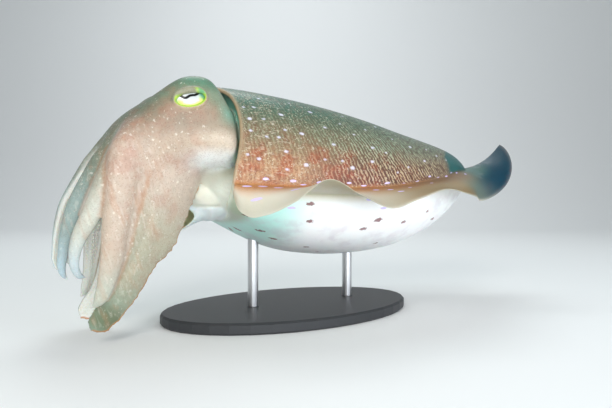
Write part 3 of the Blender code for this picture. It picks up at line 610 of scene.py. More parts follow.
# %% Sizes of the arms
# path: points of the middle line; faces: where the outer face looks, at root and tip; sizes: share of the
# length, half width, thickness and how far the keel stands out
ARMS = {
    "arm1": {
        "path": (
            (-66, -11, 54), (-79, -13, 44), (-84, -14.5, 37), (-90, -16.5, 26.5), (-99, -17.5, 9.5),
            (-106.5, -18, -4), (-110, -17, -14), (-112.5, -15, -24), (-114, -13.5, -34),
            (-114.5, -12, -43), (-112, -10.5, -50), (-108.5, -10, -52),
        ),
        "faces": ((-0.74, -0.68, 0.0), (-0.40, -0.90, 0.0)),
        "sizes": (
            (0.00, 8.5, 16, 0), (0.22, 8.6, 15, 0.5), (0.32, 8.7, 14, 1), (0.46, 8.6, 12, 1),
            (0.58, 7.0, 9.5, 1), (0.68, 5.4, 8.0, 1), (0.76, 4.2, 6.5, 0.6), (0.84, 3.2, 5.2, 0.4),
            (0.93, 2.3, 3.8, 0.2), (1.00, 0.0, 0.0, 0),
        ),
        "right_shift": (-1, 1, 3),
    },
    "arm2": {
        "path": (
            (-64, -22, 50), (-79, -27, 36), (-88, -31.5, 19), (-92.5, -33.5, 9), (-96.5, -33.5, 0),
            (-101.5, -33, -10.5), (-107, -30, -23), (-109, -27.5, -35), (-108, -25.5, -43),
            (-104.5, -23.5, -48), (-100, -23, -49.5),
        ),
        "faces": ((-0.55, -0.83, 0.0), (-0.45, -0.89, 0.0)),
        "sizes": (
            (0.00, 8.5, 15, 0), (0.18, 8.5, 15, 0.5), (0.34, 8.0, 14, 1), (0.43, 7.5, 13, 1),
            (0.52, 7.0, 12, 1), (0.61, 6.0, 10, 0.8), (0.73, 4.6, 8.0, 0.6), (0.84, 3.4, 6.0, 0.4),
            (0.91, 2.6, 4.6, 0.3), (0.96, 2.0, 3.6, 0.1), (1.00, 0.0, 0.0, 0),
        ),
        "right_shift": (2, -1, 4),
    },
    "arm3": {
        "path": (
            (-66, -26, 52), (-76, -34, 36), (-80, -37.5, 19), (-83.5, -40, 0), (-86.5, -41, -18),
            (-88, -41, -31.5), (-90, -39.5, -44), (-92.5, -38, -55.5), (-95.5, -37, -63),
            (-100, -35.5, -68.5),
        ),
        "faces": ((0.05, -1.0, 0.05), (0.0, -1.0, 0.0)),
        "sizes": (
            (0.00, 12.0, 18, 0), (0.16, 12.3, 18, 0), (0.29, 11.8, 17, 0.5), (0.44, 10.0, 14, 1),
            (0.59, 8.2, 11.5, 1), (0.69, 7.2, 9.5, 1), (0.79, 6.2, 8.0, 1), (0.88, 5.0, 6.5, 0.8),
            (0.94, 3.8, 5.0, 0.5), (1.00, 0.0, 0.0, 0),
        ),
        "right_shift": (4, -1, -4),
    },
    "arm4": {
        "path": (
            (-34, -22, 52), (-41.5, -26, 38.5), (-49.5, -28, 20.5), (-58.5, -29.5, 0),
            (-65, -30.7, -19.5), (-71.5, -31, -33.5), (-76, -31.2, -46), (-81, -30.6, -58),
            (-86, -30, -66.5), (-92.5, -29.8, -74.5), (-96.5, -29.6, -80.5), (-99.5, -29.5, -84),
        ),
        "faces": ((0.29, -0.95, -0.05), (0.25, -0.96, 0.05)),
        "sizes": (
            (0.00, 16.0, 18, 6), (0.10, 17.0, 18, 9), (0.23, 17.5, 18, 12), (0.38, 16.5, 17, 13.5),
            (0.52, 14.5, 14, 12.5), (0.62, 11.3, 12, 9.5), (0.70, 9.6, 10, 7.5), (0.79, 8.2, 8.5, 6.5),
            (0.86, 7.2, 7.0, 5.5), (0.93, 6.5, 5.5, 5), (0.975, 5.0, 4.0, 3), (1.00, 0.0, 0.0, 0),
        ),
        "right_shift": (3, -1, -3),
    },
}
# The face with the suckers is flatter than the outer one
ORAL_DEPTH = 0.62
# How much thicker the muscle of an arm is where it grows out of the cheek, and how far down that reaches
SHOULDERS = {"arm3": 0.7, "arm4": 1.0}
SHOULDER_LENGTH = 0.34
# The keel's ripple: its height as a share of the keel, its waves along the arm, and how they wander
RIPPLE_HEIGHT, RIPPLE_WAVES, RIPPLE_WANDER = 0.06, 130, 47
print("arms a side:", len(ARMS))

# %% [markdown]
# At each share of its length an arm has a centre and three directions: along it, sideways to the keel, and
# outwards. A ring is set up in these directions, flattened on the face with the suckers and drawn out into
# the keel, and the rings are stacked into a tube that ends in a point.

# %% Lofts of the arms
def arm_path(name, side):
    """The arm's path with the share of its length in front, on the left of the body."""
    points = np.array(ARMS[name]["path"], float)
    steps = np.linalg.norm(np.diff(points, axis=0), axis=1)
    share = np.concatenate([[0], np.cumsum(steps)]) / steps.sum()
    if side > 0:
        points += np.outer(share, ARMS[name]["right_shift"])
    return np.column_stack([share, points])


def arm_frame(name, side, share):
    """Centre, tangent, sideways (towards the keel) and outward directions along an arm, and its sizes."""
    path = arm_path(name, side)
    ahead, behind = (curve_through(path, np.clip(share + step, 0, 1)) for step in (0.01, -0.01))
    tangent = unit(ahead - behind)
    first, last = np.array(ARMS[name]["faces"])
    outward = first + (last - first) * share[:, None]
    outward = unit(outward - tangent * (outward * tangent).sum(-1, keepdims=True))
    sizes = curve_through(ARMS[name]["sizes"], share)
    return curve_through(path, share), tangent, np.cross(outward, tangent), outward, sizes


def shoulder_swell(name, share):
    """How many times thicker the arm's outer face is there than its table says."""
    return 1 + SHOULDERS.get(name, 0) * ease(SHOULDER_LENGTH, 0, share)


def arm_rings(name, side, share, angle):
    """Angle 0 is the keel's edge, 90 degrees the outer face and 270 degrees the face with the suckers."""
    centre, _, sideways, outward, sizes = arm_frame(name, side, share)
    half, thick, keel = sizes.T[..., None]
    c, s = np.cos(angle), np.sin(angle)
    edge = np.maximum(c, 0)
    wave = np.sin(share * RIPPLE_WAVES + 2 * np.sin(share * RIPPLE_WANDER))[:, None]
    across = half * c + keel * edge**4 + RIPPLE_HEIGHT * keel * wave * edge**10
    shoulder = shoulder_swell(name, share)[:, None]
    out = np.where(s > 0, thick / 2 * s * shoulder, -thick / 2 * ORAL_DEPTH * np.abs(s) ** 0.7)
    points = centre[:, None] + sideways[:, None] * across[..., None] + outward[:, None] * out[..., None]
    points[..., 1] *= -side
    return points


# The ring of an arm where the keel's line starts, below the cheek
KEEL_START = 30
arm_shares = np.linspace(0, 0.995, 190)
arm_sides = turn_steps(64)
arm_grids, keel_lines = {}, []
for name in ARMS:
    for word, side in SIDES_OF_BODY:
        grid = arm_rings(name, side, arm_shares, arm_sides)
        arm_grids[name, side] = grid
        if name == "arm4":
            keel_lines.append(grid[KEEL_START:, 0])
        tip = curve_through(arm_path(name, side), 1.0)[0] * (1, -side, 1)
        pieces.append(skin_rings(grid, tip))
print("arms:", len(arm_grids), "with", grid.shape[0] * grid.shape[1], "points each")

# %% [markdown]
# Webs of skin join neighbouring arms near their roots, like the skin between fingers, so only a crease shows
# there. A web is a flat bridge that is matched to both arms by height.

# %% Webs between the arms
# Two neighbours, from and to this height, and how near the web comes to the arms' outer faces
WEBS = (
    ("arm3", "arm4", 48, -64, 0.93), ("arm2", "arm3", 48, 3, 0.85), ("arm1", "arm2", 48, -8, 0.8),
)
# How much a web thins out towards its free edge, and how far inside the arms its back lies
WEB_THINNING, WEB_BACK = 0.45, 0.12


def web_rings(first, second, side, high, low, fill, steps=90, columns=14):
    """A flat bridge between two arms, matched by height. It thins out towards its free edge."""
    edges = []
    level = np.linspace(high, low, steps)
    for name in (first, second):
        share = np.linspace(0, 0.97, 400)
        height = curve_through(arm_path(name, side), share)[:, 2]
        share = np.interp(-level, -height, share)
        centre, _, _, outward, sizes = arm_frame(name, side, share)
        thin_out = fill * (1 - WEB_THINNING * ease(0.7, 1, np.linspace(0, 1, steps)))
        lift = (sizes[:, 1] / 2 * shoulder_swell(name, share) * thin_out)[:, None]
        edges.append((centre + outward * lift, centre - outward * sizes[:, 1:2] * WEB_BACK))
    (out_a, in_a), (out_b, in_b) = edges
    t = np.linspace(0, 1, columns)[None, :, None]
    front = out_a[:, None] * (1 - t) + out_b[:, None] * t
    back = in_b[:, None] * (1 - t) + in_a[:, None] * t
    rings = np.concatenate([front, back], 1)
    rings[..., 1] *= -side
    return rings


for first, second, high, low, fill in WEBS:
    for word, side in SIDES_OF_BODY:
        pieces.append(skin_rings(web_rings(first, second, side, high, low, fill)))
print("webs:", 2 * len(WEBS))

# %% [markdown]
# ## The neck
# Beside and above the funnel, folds of pale skin bridge the step from the cheeks to the collar. A short, wide
# loft fills that step, with a few creases that run down it.

# %% Form and colours of the neck
# x, centre z, half width, half height
NECK = ((13, 14, 48, 28), (4, 14, 45.5, 26), (-4, 15, 41, 22), (-12, 18, 34, 16), (-20, 22, 24, 10))
NECK_RINGS, NECK_POINTS = 44, 160
# Depth of the creases as a share of the neck, how many run round it, and how they wander
CREASE_DEPTH, CREASE_WAVES, CREASE_WANDER = 0.014, 15, 4
neck_sides = turn_steps(NECK_POINTS)
creases = np.abs(np.sin(neck_sides * CREASE_WAVES + 2 * np.sin(neck_sides * CREASE_WANDER))) ** 4
neck_keys = [(i / (len(NECK) - 1), *row) for i, row in enumerate(NECK)]
neck_rings = []
for place in np.linspace(0, 1, NECK_RINGS):
    x, z, half_width, half_height = curve_through(neck_keys, place)[0]
    reach = 1 - CREASE_DEPTH * ease(0.1, 0.4, place) * creases
    across, lift = -half_width * reach * np.cos(neck_sides), half_height * reach * np.sin(neck_sides)
    neck_rings.append(np.stack([np.full(NECK_POINTS, x), across, z + lift], 1))
pieces.append(skin_rings(neck_rings))
neck_rings = np.array(neck_rings)
coat = mixed(tint("#e4e9de"), tint("#a3a392"), ease(8, 22, neck_rings[..., 2]))
add_samples(neck_rings, HEAD_LABEL, coat, grain=0.1)
print("neck points:", NECK_RINGS * NECK_POINTS)

# %% [markdown]
# The first and second pairs are greenish grey and end in bluish white tips. The third is pinkish beige. The
# fourth turns from pinkish beige to a greenish beige below, with a darker olive film near its tip. The faces
# with the suckers are cream all over.

# %% Ground colours of the arms
ARM_COATS = {
    "arm1": ("#6f7b68", "#93a6a2", "#b4cad2"),
    "arm2": ("#9c9681", "#bdbfb3", "#bccbcf"),
    "arm3": ("#bba897", "#bcad9c", "#b3b9ab"),
    "arm4": ("#c8b7a7", "#aca994", "#80937f"),
}
for (name, side), grid in arm_grids.items():
    root, middle, tip = (tint(c) for c in ARM_COATS[name])
    length = arm_shares[:, None]
    coat = mixed(mixed(root, middle, ease(0.2, 0.6, length)), tip, ease(0.65, 0.95, length))
    if name == "arm4":
        coat = mixed(coat, tint("#596646"), ease(0.84, 0.9, length) * ease(0.985, 0.95, length) * 0.7)
    if name != "arm1":
        coat = mixed(coat, tint("#9a8b79"), ease(42, 53, grid[..., 2]))
        coat = mixed(coat, tint("#77806c"), ease(54, 64, grid[..., 2]))
    oral = ease(0.05, 0.35, -np.sin(arm_sides))[None, :]
    coat = mixed(np.broadcast_to(coat, grid.shape), tint("#e9ebe6"), oral)
    add_samples(
        grid, ARM_LABEL + int(name[-1]) + (4 if side > 0 else 0), coat,
        grain=(0.45 - 0.3 * oral) * (1 - 0.5 * length),
        dots=(1 - oral) * (0.9 - 0.4 * length),
        flush=(1 - oral) * 0.45 * (1 - length) * (name in ("arm3", "arm4")),
    )
print("samples of an arm:", len(samples[-1]))

# %% [markdown]
# ## The funnel
# Under the head hangs the funnel, the soft spout that the animal steers with. It is a bent tube that leaves
# the pocket between mantle and head and swells into a cream bulge. Below a groove it hangs down like a white
# cuff with fine folds, and its mouth looks down and to the left, open as far as the eye can see in.

# %% Form of the funnel
# share, x, z, half width and half height from its base in the mantle to its mouth
FUNNEL = (
    (0.00, 20, -1, 30, 10), (0.25, 7, 2, 29, 15), (0.45, -5, 4.5, 27, 18), (0.65, -16, 0, 22, 15),
    (0.85, -27, -8.8, 16, 11), (1.00, -34.5, -15, 12, 9),
)
# Thickness of its wall, and the share of its length that is bored out
FUNNEL_WALL, FUNNEL_BORE = 1.6, 0.34
# The bulge: how much wider than the table it is, where it is, and over which share of the length
BULGE, BULGE_PLACE, BULGE_SPREAD = 0.09, 0.62, 0.12
# How squarely the cuff hangs, the height of its upper edge, and how far the mouth's left and upper rim lean
CUFF_POWER, CUFF_TOP, MOUTH_TURN, MOUTH_TIP = 0.65, -2, 14, 3
# Depth and width of the groove, then depth, spacing, middle and reach of the folds
GROOVE_DEPTH, GROOVE_WIDTH = 1.1, 0.9
FOLD_DEPTH, FOLD_TURN, FOLD_MIDDLE, FOLD_REACH = 0.9, 1.3, -9, 5
FUNNEL_RINGS, BORE_RINGS, FUNNEL_POINTS = 90, 26, 180


def funnel_ring(share, wall, angle):
    """One ring of the funnel, drawn in by the thickness of its wall."""
    x, z, half_width, half_height = curve_through(FUNNEL, share)[0]
    swell = 1 + BULGE * math.exp(-((share - BULGE_PLACE) / BULGE_SPREAD) ** 2)
    half_width, half_height = half_width * swell, half_height * swell
    ahead, behind = (curve_through(FUNNEL, np.clip(share + step, 0, 1))[0] for step in (0.02, -0.02))
    run = ahead - behind
    forward = unit(np.array([run[0], 0, run[1]]))
    upward = np.cross(forward, (0, 1, 0))
    # Below, the tube hangs down like a cuff, so its section is squarer there
    power = np.where(np.sin(angle) < 0, CUFF_POWER, 1)
    across = (half_width - wall) * bent(np.cos(angle), power)
    lift = (half_height - wall) * bent(np.sin(angle), power)
    # The mouth looks to the left: its left and upper rim stand back
    slant = ease(0.6, 1.0, share) * (MOUTH_TURN * np.cos(angle) - MOUTH_TIP * np.sin(angle))
    ring = np.array([x, 0, z]) + np.outer(across, (0, 1, 0)) + np.outer(lift, upward)
    ring = ring + np.outer(slant, forward)
    # A groove at the top of the cuff, and fine folds that run down it
    groove = GROOVE_DEPTH * np.exp(-((ring[:, 2] - CUFF_TOP) / GROOVE_WIDTH) ** 2) * ease(0.3, 0.45, share)
    nearness = np.exp(-((ring[:, 0] - FOLD_MIDDLE) / FOLD_REACH) ** 2)
    folds = FOLD_DEPTH * np.sin(ring[:, 0] * FOLD_TURN) ** 2 * nearness
    folds *= ease(CUFF_TOP, CUFF_TOP - 3, ring[:, 2]) * ease(0.4, 0.5, share)
    ring[:, 1] -= np.sign(ring[:, 1]) * (groove + folds)
    return ring


print("funnel's mouth at x and z, mm:", FUNNEL[-1][1:3])

# %% [markdown]
# The rings run down the outside, round the rim and back up the bore, so the wall is a real one. Above the
# groove the funnel is cream, the cuff below is white with a hint of blue, and light shines through its wall.
# The bore is painted a pale yellow, brighter than the flesh: a painted glow of light against the shade inside
# it.

# %% Walls and colours of the funnel
funnel_sides = turn_steps(FUNNEL_POINTS)
outer_shares = np.linspace(0, 0.985, FUNNEL_RINGS)
funnel_outer = np.array([funnel_ring(share, 0, funnel_sides) for share in outer_shares])
funnel_inner = [
    funnel_ring(1 - FUNNEL_BORE * deep, FUNNEL_WALL * (1 + deep), funnel_sides)
    for deep in np.linspace(0, 1, BORE_RINGS)
]
rim = funnel_ring(1.0, FUNNEL_WALL / 2, funnel_sides)
pieces.append(skin_rings([*funnel_outer, rim, *funnel_inner]))
lip = np.linspace(0, 1, FUNNEL_RINGS)[:, None]
cuff = np.maximum(ease(CUFF_TOP, CUFF_TOP - 1.5, funnel_outer[..., 2]), ease(0.9, 0.96, lip))
coat = mixed(tint("#dcddcf"), tint("#e6efef"), cuff)
add_samples(funnel_outer, FUNNEL_LABEL, coat, grain=0.05)
add_samples(rim, FUNNEL_LABEL, tint("#eef5f2"))
# The bore's pale yellow, brighter than the flesh, is a painted glow: painted light against the shade inside
# the funnel
add_samples(np.array(funnel_inner), FUNNEL_LABEL, tint("#f2f4d2"), thin=0.6)
print("funnel points:", (FUNNEL_RINGS + 1 + BORE_RINGS) * FUNNEL_POINTS)

# %% [markdown]
# ## One body
# All these forms overlap, as the muscles under a real skin do. Filling their shared space with cells of
# 0.9 mm and skinning the result makes one closed body: neighbouring arms grow together along a crease and
# part where they really part, and lids, neck and funnel need no seams.

# %% Fusing mantle, head, lids, arms and funnel
CELL = 0.9


def joined_piece(name, several):
    """One object from several lots of points and faces."""
    points, faces, start = [], [], 0
    for piece_points, piece_faces in several:
        points.append(np.asarray(piece_points))
        faces += [[start + k for k in face] for face in piece_faces]
        start += len(piece_points)
    return mesh_piece(name, np.vstack(points), faces)


skin = joined_piece("skin", pieces)
fuse = skin.modifiers.new("fuse", "REMESH")
fuse.mode = "VOXEL"
fuse.voxel_size = CELL * MM
apply_modifiers(skin)
print("fused body:", len(skin.data.vertices), "points")

# %% [markdown]
# ## The fins
# A fin runs along each flank from the collar to the tail. It is one long wave: at every place along the body
# a ray leaves the flank at its own rise and swing, and bends on its way out. The sheet is 5 mm thick at its
# root and half a millimetre at its margin, where real fins are clear. The two sides are caught in different
# phases of the wave.

# %% Form of the fins
# x of the root, swing of the ray towards the tail, rise of the ray, both in degrees, and its width
FIN_LEFT = (
    (0.2, -32, -50, 6), (2, -28, -50, 16), (7, -21, -47, 27), (15, -14, -36, 32), (27, -7, -18, 33),
    (44, 0, 11, 34), (66, 3, -5, 35), (90, 5, -21, 37), (115, 5, -12, 36), (146, 8, -5, 33),
    (180, 12, -19, 32), (206, 20, -33, 31), (237, 36, -50, 33), (258, 43, -34, 38), (272, 50, -4, 46),
    (279.9, 62, 32, 55),
)
FIN_RIGHT = (
    (0.2, -32, -35, 6), (2, -28, -33, 16), (7, -21, -28, 27), (15, -14, -20, 32), (27, -7, -6, 33),
    (44, 0, 9, 34), (66, 3, 12, 35), (90, 5, -4, 37), (115, 5, -19, 36), (146, 8, -8, 33),
    (180, 12, 12, 32), (206, 20, 6, 31), (237, 36, 2, 33), (258, 43, 18, 38), (272, 50, 16, 44),
    (279.9, 62, 6, 46),
)
FIN_ROOT_DEPTH = 4
FIN_ROOT_THICKNESS, FIN_MARGIN_THICKNESS = 5.0, 0.6
# How fast the sheet thins out, how much closer its stations are in front, and how its ray bends
FIN_THINNING, STATION_SPREAD = 2.2, 1.3
RAY_BEND, RAY_MIDDLE = 0.6, 0.5


def fin_grid(keys, side, x, across):
    """Points of the fin's middle sheet: a row for every x, a column for every share from root to margin."""
    swing, rise, width = curve_through(keys, x).T
    swing, rise = np.radians(swing), np.radians(rise)
    root = mantle_points(mantle_share(x), 0 * x)
    flat = np.stack([np.sin(swing), -np.cos(swing), 0 * swing], -1)

    def along_ray(rise, reach):
        """Points that far out on the rays, as a share of their width, at this rise."""
        lift = np.sin(rise)[:, None] * np.array([0, 0, 1])
        return root + (flat * np.cos(rise)[:, None] + lift) * (width * reach)[:, None]

    margin, middle = along_ray(rise, 1), along_ray(rise * RAY_BEND, RAY_MIDDLE)
    bow = middle * 2 - (root + margin) / 2
    sunk = root - flat * FIN_ROOT_DEPTH
    columns = []
    for a in across:
        rest = 1 - a
        on_ray = root * rest**2 + bow * 2 * rest * a + margin * a**2
        columns.append(root + (sunk - root) * -a if a < 0 else on_ray)
    grid = np.stack(columns, 1)
    grid[..., 1] *= -side
    return grid, width


print("places of the fins' table:", len(FIN_LEFT), "and", len(FIN_RIGHT))

# %% [markdown]
# The middle sheet gets its thickness by going half of it up and half of it down along its own normal. Above, a
# fin is brown at its root and clear towards its margin, which ends in a white line, and its tail end is deep
# blue green. That blue green out on the tail lobe is painted see-through light: dark blue water seen through a
# clear lobe, painted on. Below it is pale, with the same painted blue green out on the tail lobe.

# %% Sheets of the fins and their colours
def fin_piece(keys, side, stations=460):
    """A closed sheet, and the samples of its colours."""
    across = np.concatenate([[-1], np.linspace(0, 0.96, 32), [0.98, 0.993, 1]])
    first, last = mantle_share(keys[0][0]), mantle_share(keys[-1][0])
    spread = first + (last - first) * np.linspace(0, 1, stations) ** STATION_SPREAD
    x = MANTLE_LENGTH * np.sin(spread * math.pi / 2)
    grid, width = fin_grid(keys, side, x, across)
    run, out = np.gradient(grid, axis=0), np.gradient(grid, axis=1)
    normal = unit(np.cross(run, out))
    normal *= np.where(normal[..., 2:] < 0, -1, 1)
    share = np.clip(across, 0, 1)
    taper = (FIN_ROOT_THICKNESS - FIN_MARGIN_THICKNESS) * (1 - share) ** FIN_THINNING
    half = (FIN_MARGIN_THICKNESS + taper) / 2
    # The margin is rounded off over the last few hundredths of the width
    half = half * np.sqrt(np.clip((1.004 - across) / 0.03, 0, 1))
    sheets = [grid + normal * half[:, None] * way for way in (1, -1)]
    rows = np.concatenate([sheets[0], sheets[1][:, ::-1]], 1)
    for way, sheet in zip((1, -1), sheets):
        add_fin_samples(sheet + normal * way * SAMPLE_LIFT, x, share, width, way)
    return skin_rings(rows, flat_ends=True)


def add_fin_samples(sheet, x, share, width, way):
    """Ground colours of one face of a fin: way is 1 above and -1 below."""
    x, share = x[:, None] + 0 * share[None, :], share[None, :] + 0 * x[:, None]
    rearward, tail = ease(60, 200, x), ease(225, 268, x)
    root = mixed(tint("#b98554"), tint("#806547"), rearward)
    root = mixed(root, tint("#3c6a62"), tail)
    outer = mixed(tint("#dbd5c4"), tint("#a08b64"), ease(60, 140, x))
    outer = mixed(outer, tint("#76877a"), ease(190, 235, x))
    # Out on the tail lobe, deep blue green is painted see-through light: the dark blue water behind a clear
    # lobe, painted on
    outer = mixed(outer, tint("#02394c"), tail * ease(0.05, 0.5, share))
    coat = mixed(root, outer, ease(0.12, 0.66, share))
    coat = mixed(coat, tint("#e6e1d2"), ease(0.95, 1.0, share) * (1 - tail * 0.85))
    # Below, the blue green out on the tail lobe is the same painted see-through light
    below = mixed(tint("#c2bca4"), tint("#2f6672"), tail * ease(0.35, 1.0, share))
    add_samples(
        sheet, FIN_LABEL, coat if way > 0 else below,
        grain=(0.8 * ease(0.5, 0.0, share)) if way > 0 else 0.1 * share,
        flush=(0.5 * ease(0.35, 0.0, share) * (1 - rearward)) if way > 0 else 0 * share,
        thin=ease(0.25, 1.0, share) * (1 - 0.6 * tail),
        along=x,
        up=-share * width[:, None] * (1 if way > 0 else 3),
    )


fins = [
    mesh_piece(f"fin_sheet_{word}", *fin_piece(keys, side))
    for keys, (word, side) in zip((FIN_LEFT, FIN_RIGHT), SIDES_OF_BODY)
]
print("fin points:", len(fins[0].data.vertices))

# %% [markdown]
# Now the fins are joined to the body with a Boolean, which keeps their thin margins: the cells of the fused
# body would be too coarse for them. Then each point of the skin learns its region from the nearest sample.

# %% One skin, and the region of each point
for fin in fins:
    step = skin.modifiers.new("join", "BOOLEAN")
    step.operation, step.solver, step.object = "UNION", "MANIFOLD", fin
apply_modifiers(skin)
drop(*fins)


def tree_of(points):
    """A tree that finds the nearest of these points."""
    tree = KDTree(len(points))
    for i, point in enumerate(points):
        tree.insert(point, i)
    tree.balance()
    return tree


def read_rows(source, field):
    """Three numbers for every point of the skin."""
    flat = np.empty(len(source) * 3)
    source.foreach_get(field, flat)
    return flat.reshape(-1, 3)


def read_normals():
    """The direction that the skin faces at each of its points."""
    return read_rows(skin.data.vertex_normals, "vector")


pairs = np.empty(len(skin.data.edges) * 2, int)
skin.data.edges.foreach_get("vertices", pairs)
pairs = pairs.reshape(-1, 2)
points = (read_rows(skin.data.vertices, "co") - BODY_PLACE) / MM
rows = np.vstack(samples)
sample_tree = tree_of(rows[:, :3])
looked_up = points + read_normals() * SAMPLE_LIFT
label = np.array([rows[sample_tree.find(p)[1], 3] for p in looked_up])
print("skin:", len(points), "points,", len(pairs), "edges")

# %% [markdown]
# What is left of the cells is smoothed away: each point moves towards the mean of its neighbours and is then
# pushed back as far, which takes out the steps without shrinking the arms' tips. The line where fin and flank
# meet is smoothed more, into a fillet, and the hollows between cheek and arms are filled the same way,
# because one muscle runs through there.

# %% Smoothing
def relaxed(values, weight, rounds, back=0.0):
    """values of the skin's points drawn towards their neighbours' mean, and pushed back by a share.

    Only the points with a weight move, so only their edges are used.
    """
    used = pairs[(weight[pairs] > 0).any(1)]
    ids, ends = np.unique(used, return_inverse=True)
    first, second = ends.reshape(used.shape).T
    part, own, count = values[ids], weight[ids, None], len(ids)
    degree = np.maximum(np.bincount(ends.ravel(), minlength=count), 1)[:, None]
    for _ in range(rounds):
        for amount in (0.5, -0.5 * back):
            if amount:
                total = np.stack([
                    np.bincount(first, column[second], count) + np.bincount(second, column[first], count)
                    for column in part.T
                ], 1)
                part = part + (total / degree - part) * amount * own
    values = values.copy()
    values[ids] = part
    return values


fin_root = points[pairs[(label[pairs] == FIN_LABEL).sum(1) == 1].ravel()]
root_tree = tree_of(fin_root)
# Millimetres that stand for far away
FAR = 99.0
root_gap = np.full(len(points), FAR)
close = (label == FIN_LABEL) | (label == MANTLE_LABEL)
root_gap[close] = [root_tree.find(p)[2] for p in points[close]]
body_weight = np.where(label == FIN_LABEL, 0.0, 1.0)
# The push back is a little stronger than the pull, which keeps the tips of the arms from shrinking
points = relaxed(points, body_weight, 6, back=1.04)
points = relaxed(points, ease(5, 1, root_gap), 8)


def border_gap(wanted):
    """Distance of every point of head and arms from the borders between two kinds of label."""
    border = points[pairs[wanted(label[pairs[:, 0]], label[pairs[:, 1]])]].mean(1)
    border_tree = tree_of(border)
    where = (label > ARM_LABEL) | (label == HEAD_LABEL) | (label == LID_LABEL)
    gaps = np.full(len(points), FAR)
    gaps[where] = [border_tree.find(p)[2] for p in points[where]]
    return gaps


shoulder_gap = border_gap(lambda a, b: (np.minimum(a, b) == HEAD_LABEL) & (np.maximum(a, b) > ARM_LABEL))
points = relaxed(points, ease(13, 4, shoulder_gap), 110)
# Arms that touch are smoothed along their crease, and less and less towards their free tips
arm_gap = border_gap(lambda a, b: (np.minimum(a, b) > ARM_LABEL) & (a != b))
points = relaxed(points, 0.6 * ease(5, 1, arm_gap) * ease(-60, -20, points[:, 2]), 14)
skin.data.vertices.foreach_set("co", (points * MM + BODY_PLACE).ravel())
skin.data.update()
skin.data.shade_smooth()
print("points near the fins' roots:", int((root_gap < 5).sum()))

# %% [markdown]
# ## Picking up the colours
# Every point of the skin takes the mean of its three nearest samples, and a little smoothing over the skin
# lets neighbouring regions run into each other. Creases and edges are kept as distances in millimetres:
# a distance changes evenly, so the shader can draw a line of any width along it, finer than the mesh.

# %% Colours and distances on the skin
near = [sample_tree.find_n(p, 3) for p in points + read_normals() * SAMPLE_LIFT]
index = np.array([[hit[1] for hit in hits] for hits in near])
closeness = 1 / (np.array([[hit[2] for hit in hits] for hits in near]) + 0.05)
closeness /= closeness.sum(1, keepdims=True)
# Columns: ground colour 0 to 2, lines 3, grain 4, dots 5, flush 6, thin 7, along 8, up 9
picked = (rows[index][..., 4:] * closeness[..., None]).sum(1)
picked = relaxed(picked, np.ones(len(points)), 4)
# Cheek and arms are one muscle, so their colours flow into each other over a broad band
picked[:, :7] = relaxed(picked[:, :7], ease(20, 8, shoulder_gap), 150)


def gap_to(line_points, where, limit=40.0):
    """Distance in mm of the chosen points of the skin from the nearest of line_points."""
    gaps = np.full(len(points), limit)
    line_tree = tree_of(line_points)
    gaps[where] = [min(line_tree.find(p)[2], limit) for p in points[where]]
    return gaps


arms = label > ARM_LABEL
crossing = arms[pairs].all(1) & (label[pairs[:, 0]] != label[pairs[:, 1]])
crease_points = points[pairs[crossing]].mean(1)
in_front = arms | (label == HEAD_LABEL)
# The faces with the suckers, which have no dots, are kept clear of the creases' colour
crease_gap = gap_to(crease_points, in_front) + 8 * np.where(arms, ease(0.3, 0.05, picked[:, 5]), 0)
KEEL_STEPS = 600
keel_points = []
skin_tree = tree_of(points)
for line in keel_lines:
    steps = np.linspace(0, len(line) - 1, KEEL_STEPS)
    finer = np.stack([np.interp(steps, np.arange(len(line)), column) for column in line.T], 1)
    keel_points += [skin_tree.find(p)[0] for p in finer]
keel_points = np.array(keel_points)
keel_gap = gap_to(keel_points, in_front)
print("crease points:", len(crease_points), " keel points:", len(keel_points))

# %% [markdown]
# Three kinds of large mark have their own places: dark red blots on the belly, white dots on the flank, and
# two loose rows of violet white dashes at the fin's root. They are listed along and round the body, as seen on
# the left side, and the right side gets the same marks, shifted a little. The skin keeps the distance from the
# nearest mark of each kind, so its shape stays crisp.

# %% Blots, dots and dashes
# x, and height up from the fin line round the flank (negative is down, or out on the fin), in mm
BLOTS = (
    (51, -29), (48, -12), (113, -29), (145, -35), (23, -49), (16, -66), (65, -66), (36, -58), (6, -30),
    (102, -38), (84, -80), (130, -62), (176, -28), (70, -100), (196, -40),
)
DOTS = (
    (6, 57), (14, 59), (34, 56), (8, 46), (19, 48), (7, 36), (18, 33), (33, 41), (46, 40), (27, 34),
    (31, 24), (10, 17), (2, 19), (45, 16), (61, 21), (71, 34), (85, 58), (68, 50), (30, 12), (94, 47),
    (84, 16), (104, 22), (121, 31), (108, 35), (129, 13), (143, 17), (156, 39), (194, 27), (76, 21),
    (62, 68), (110, 56), (137, 48), (168, 22), (181, 36), (22, 74), (48, 78), (96, 74), (128, 66), (210, 20),
)
DASHES = (
    (14, 5.3), (34, 5.1), (8, -3.2), (18, -2.8), (27, -6), (44, 1), (55, 4.5), (68, 1.2), (80, 4.8),
    (94, 1.5), (117, 4.4), (99, -8), (111, -10), (115, -17), (132, -9.5), (136, 2.2), (153, 1.6), (171, 6.0),
    (163, -7), (186, 1.5), (202, 0.3), (214, 3.9), (228, 0.5), (12, -18.5), (34, -16.5), (240, -4),
)
dice = random.Random(11)
along, up = picked[:, 8], picked[:, 9]


def mark_gap(marks, length, width, labels):
    """Distance in mm from the nearest mark's edge, negative inside. Sizes vary by a third."""
    gap = np.full(len(points), 9.0)
    for side in (-1, 1):
        where = np.isin(label, labels) & (points[:, 1] * side > 0)
        for mark_x, mark_up in marks:
            size = dice.uniform(0.67, 1.2)
            shift = (0, 0) if side < 0 else (dice.uniform(-8, 8), dice.uniform(-1.5, 1.5))
            out_along = (along[where] - mark_x - shift[0]) / length
            out_up = (up[where] - mark_up - shift[1]) / width
            gap[where] = np.minimum(gap[where], (np.hypot(out_along, out_up) - size) * width)
    return gap


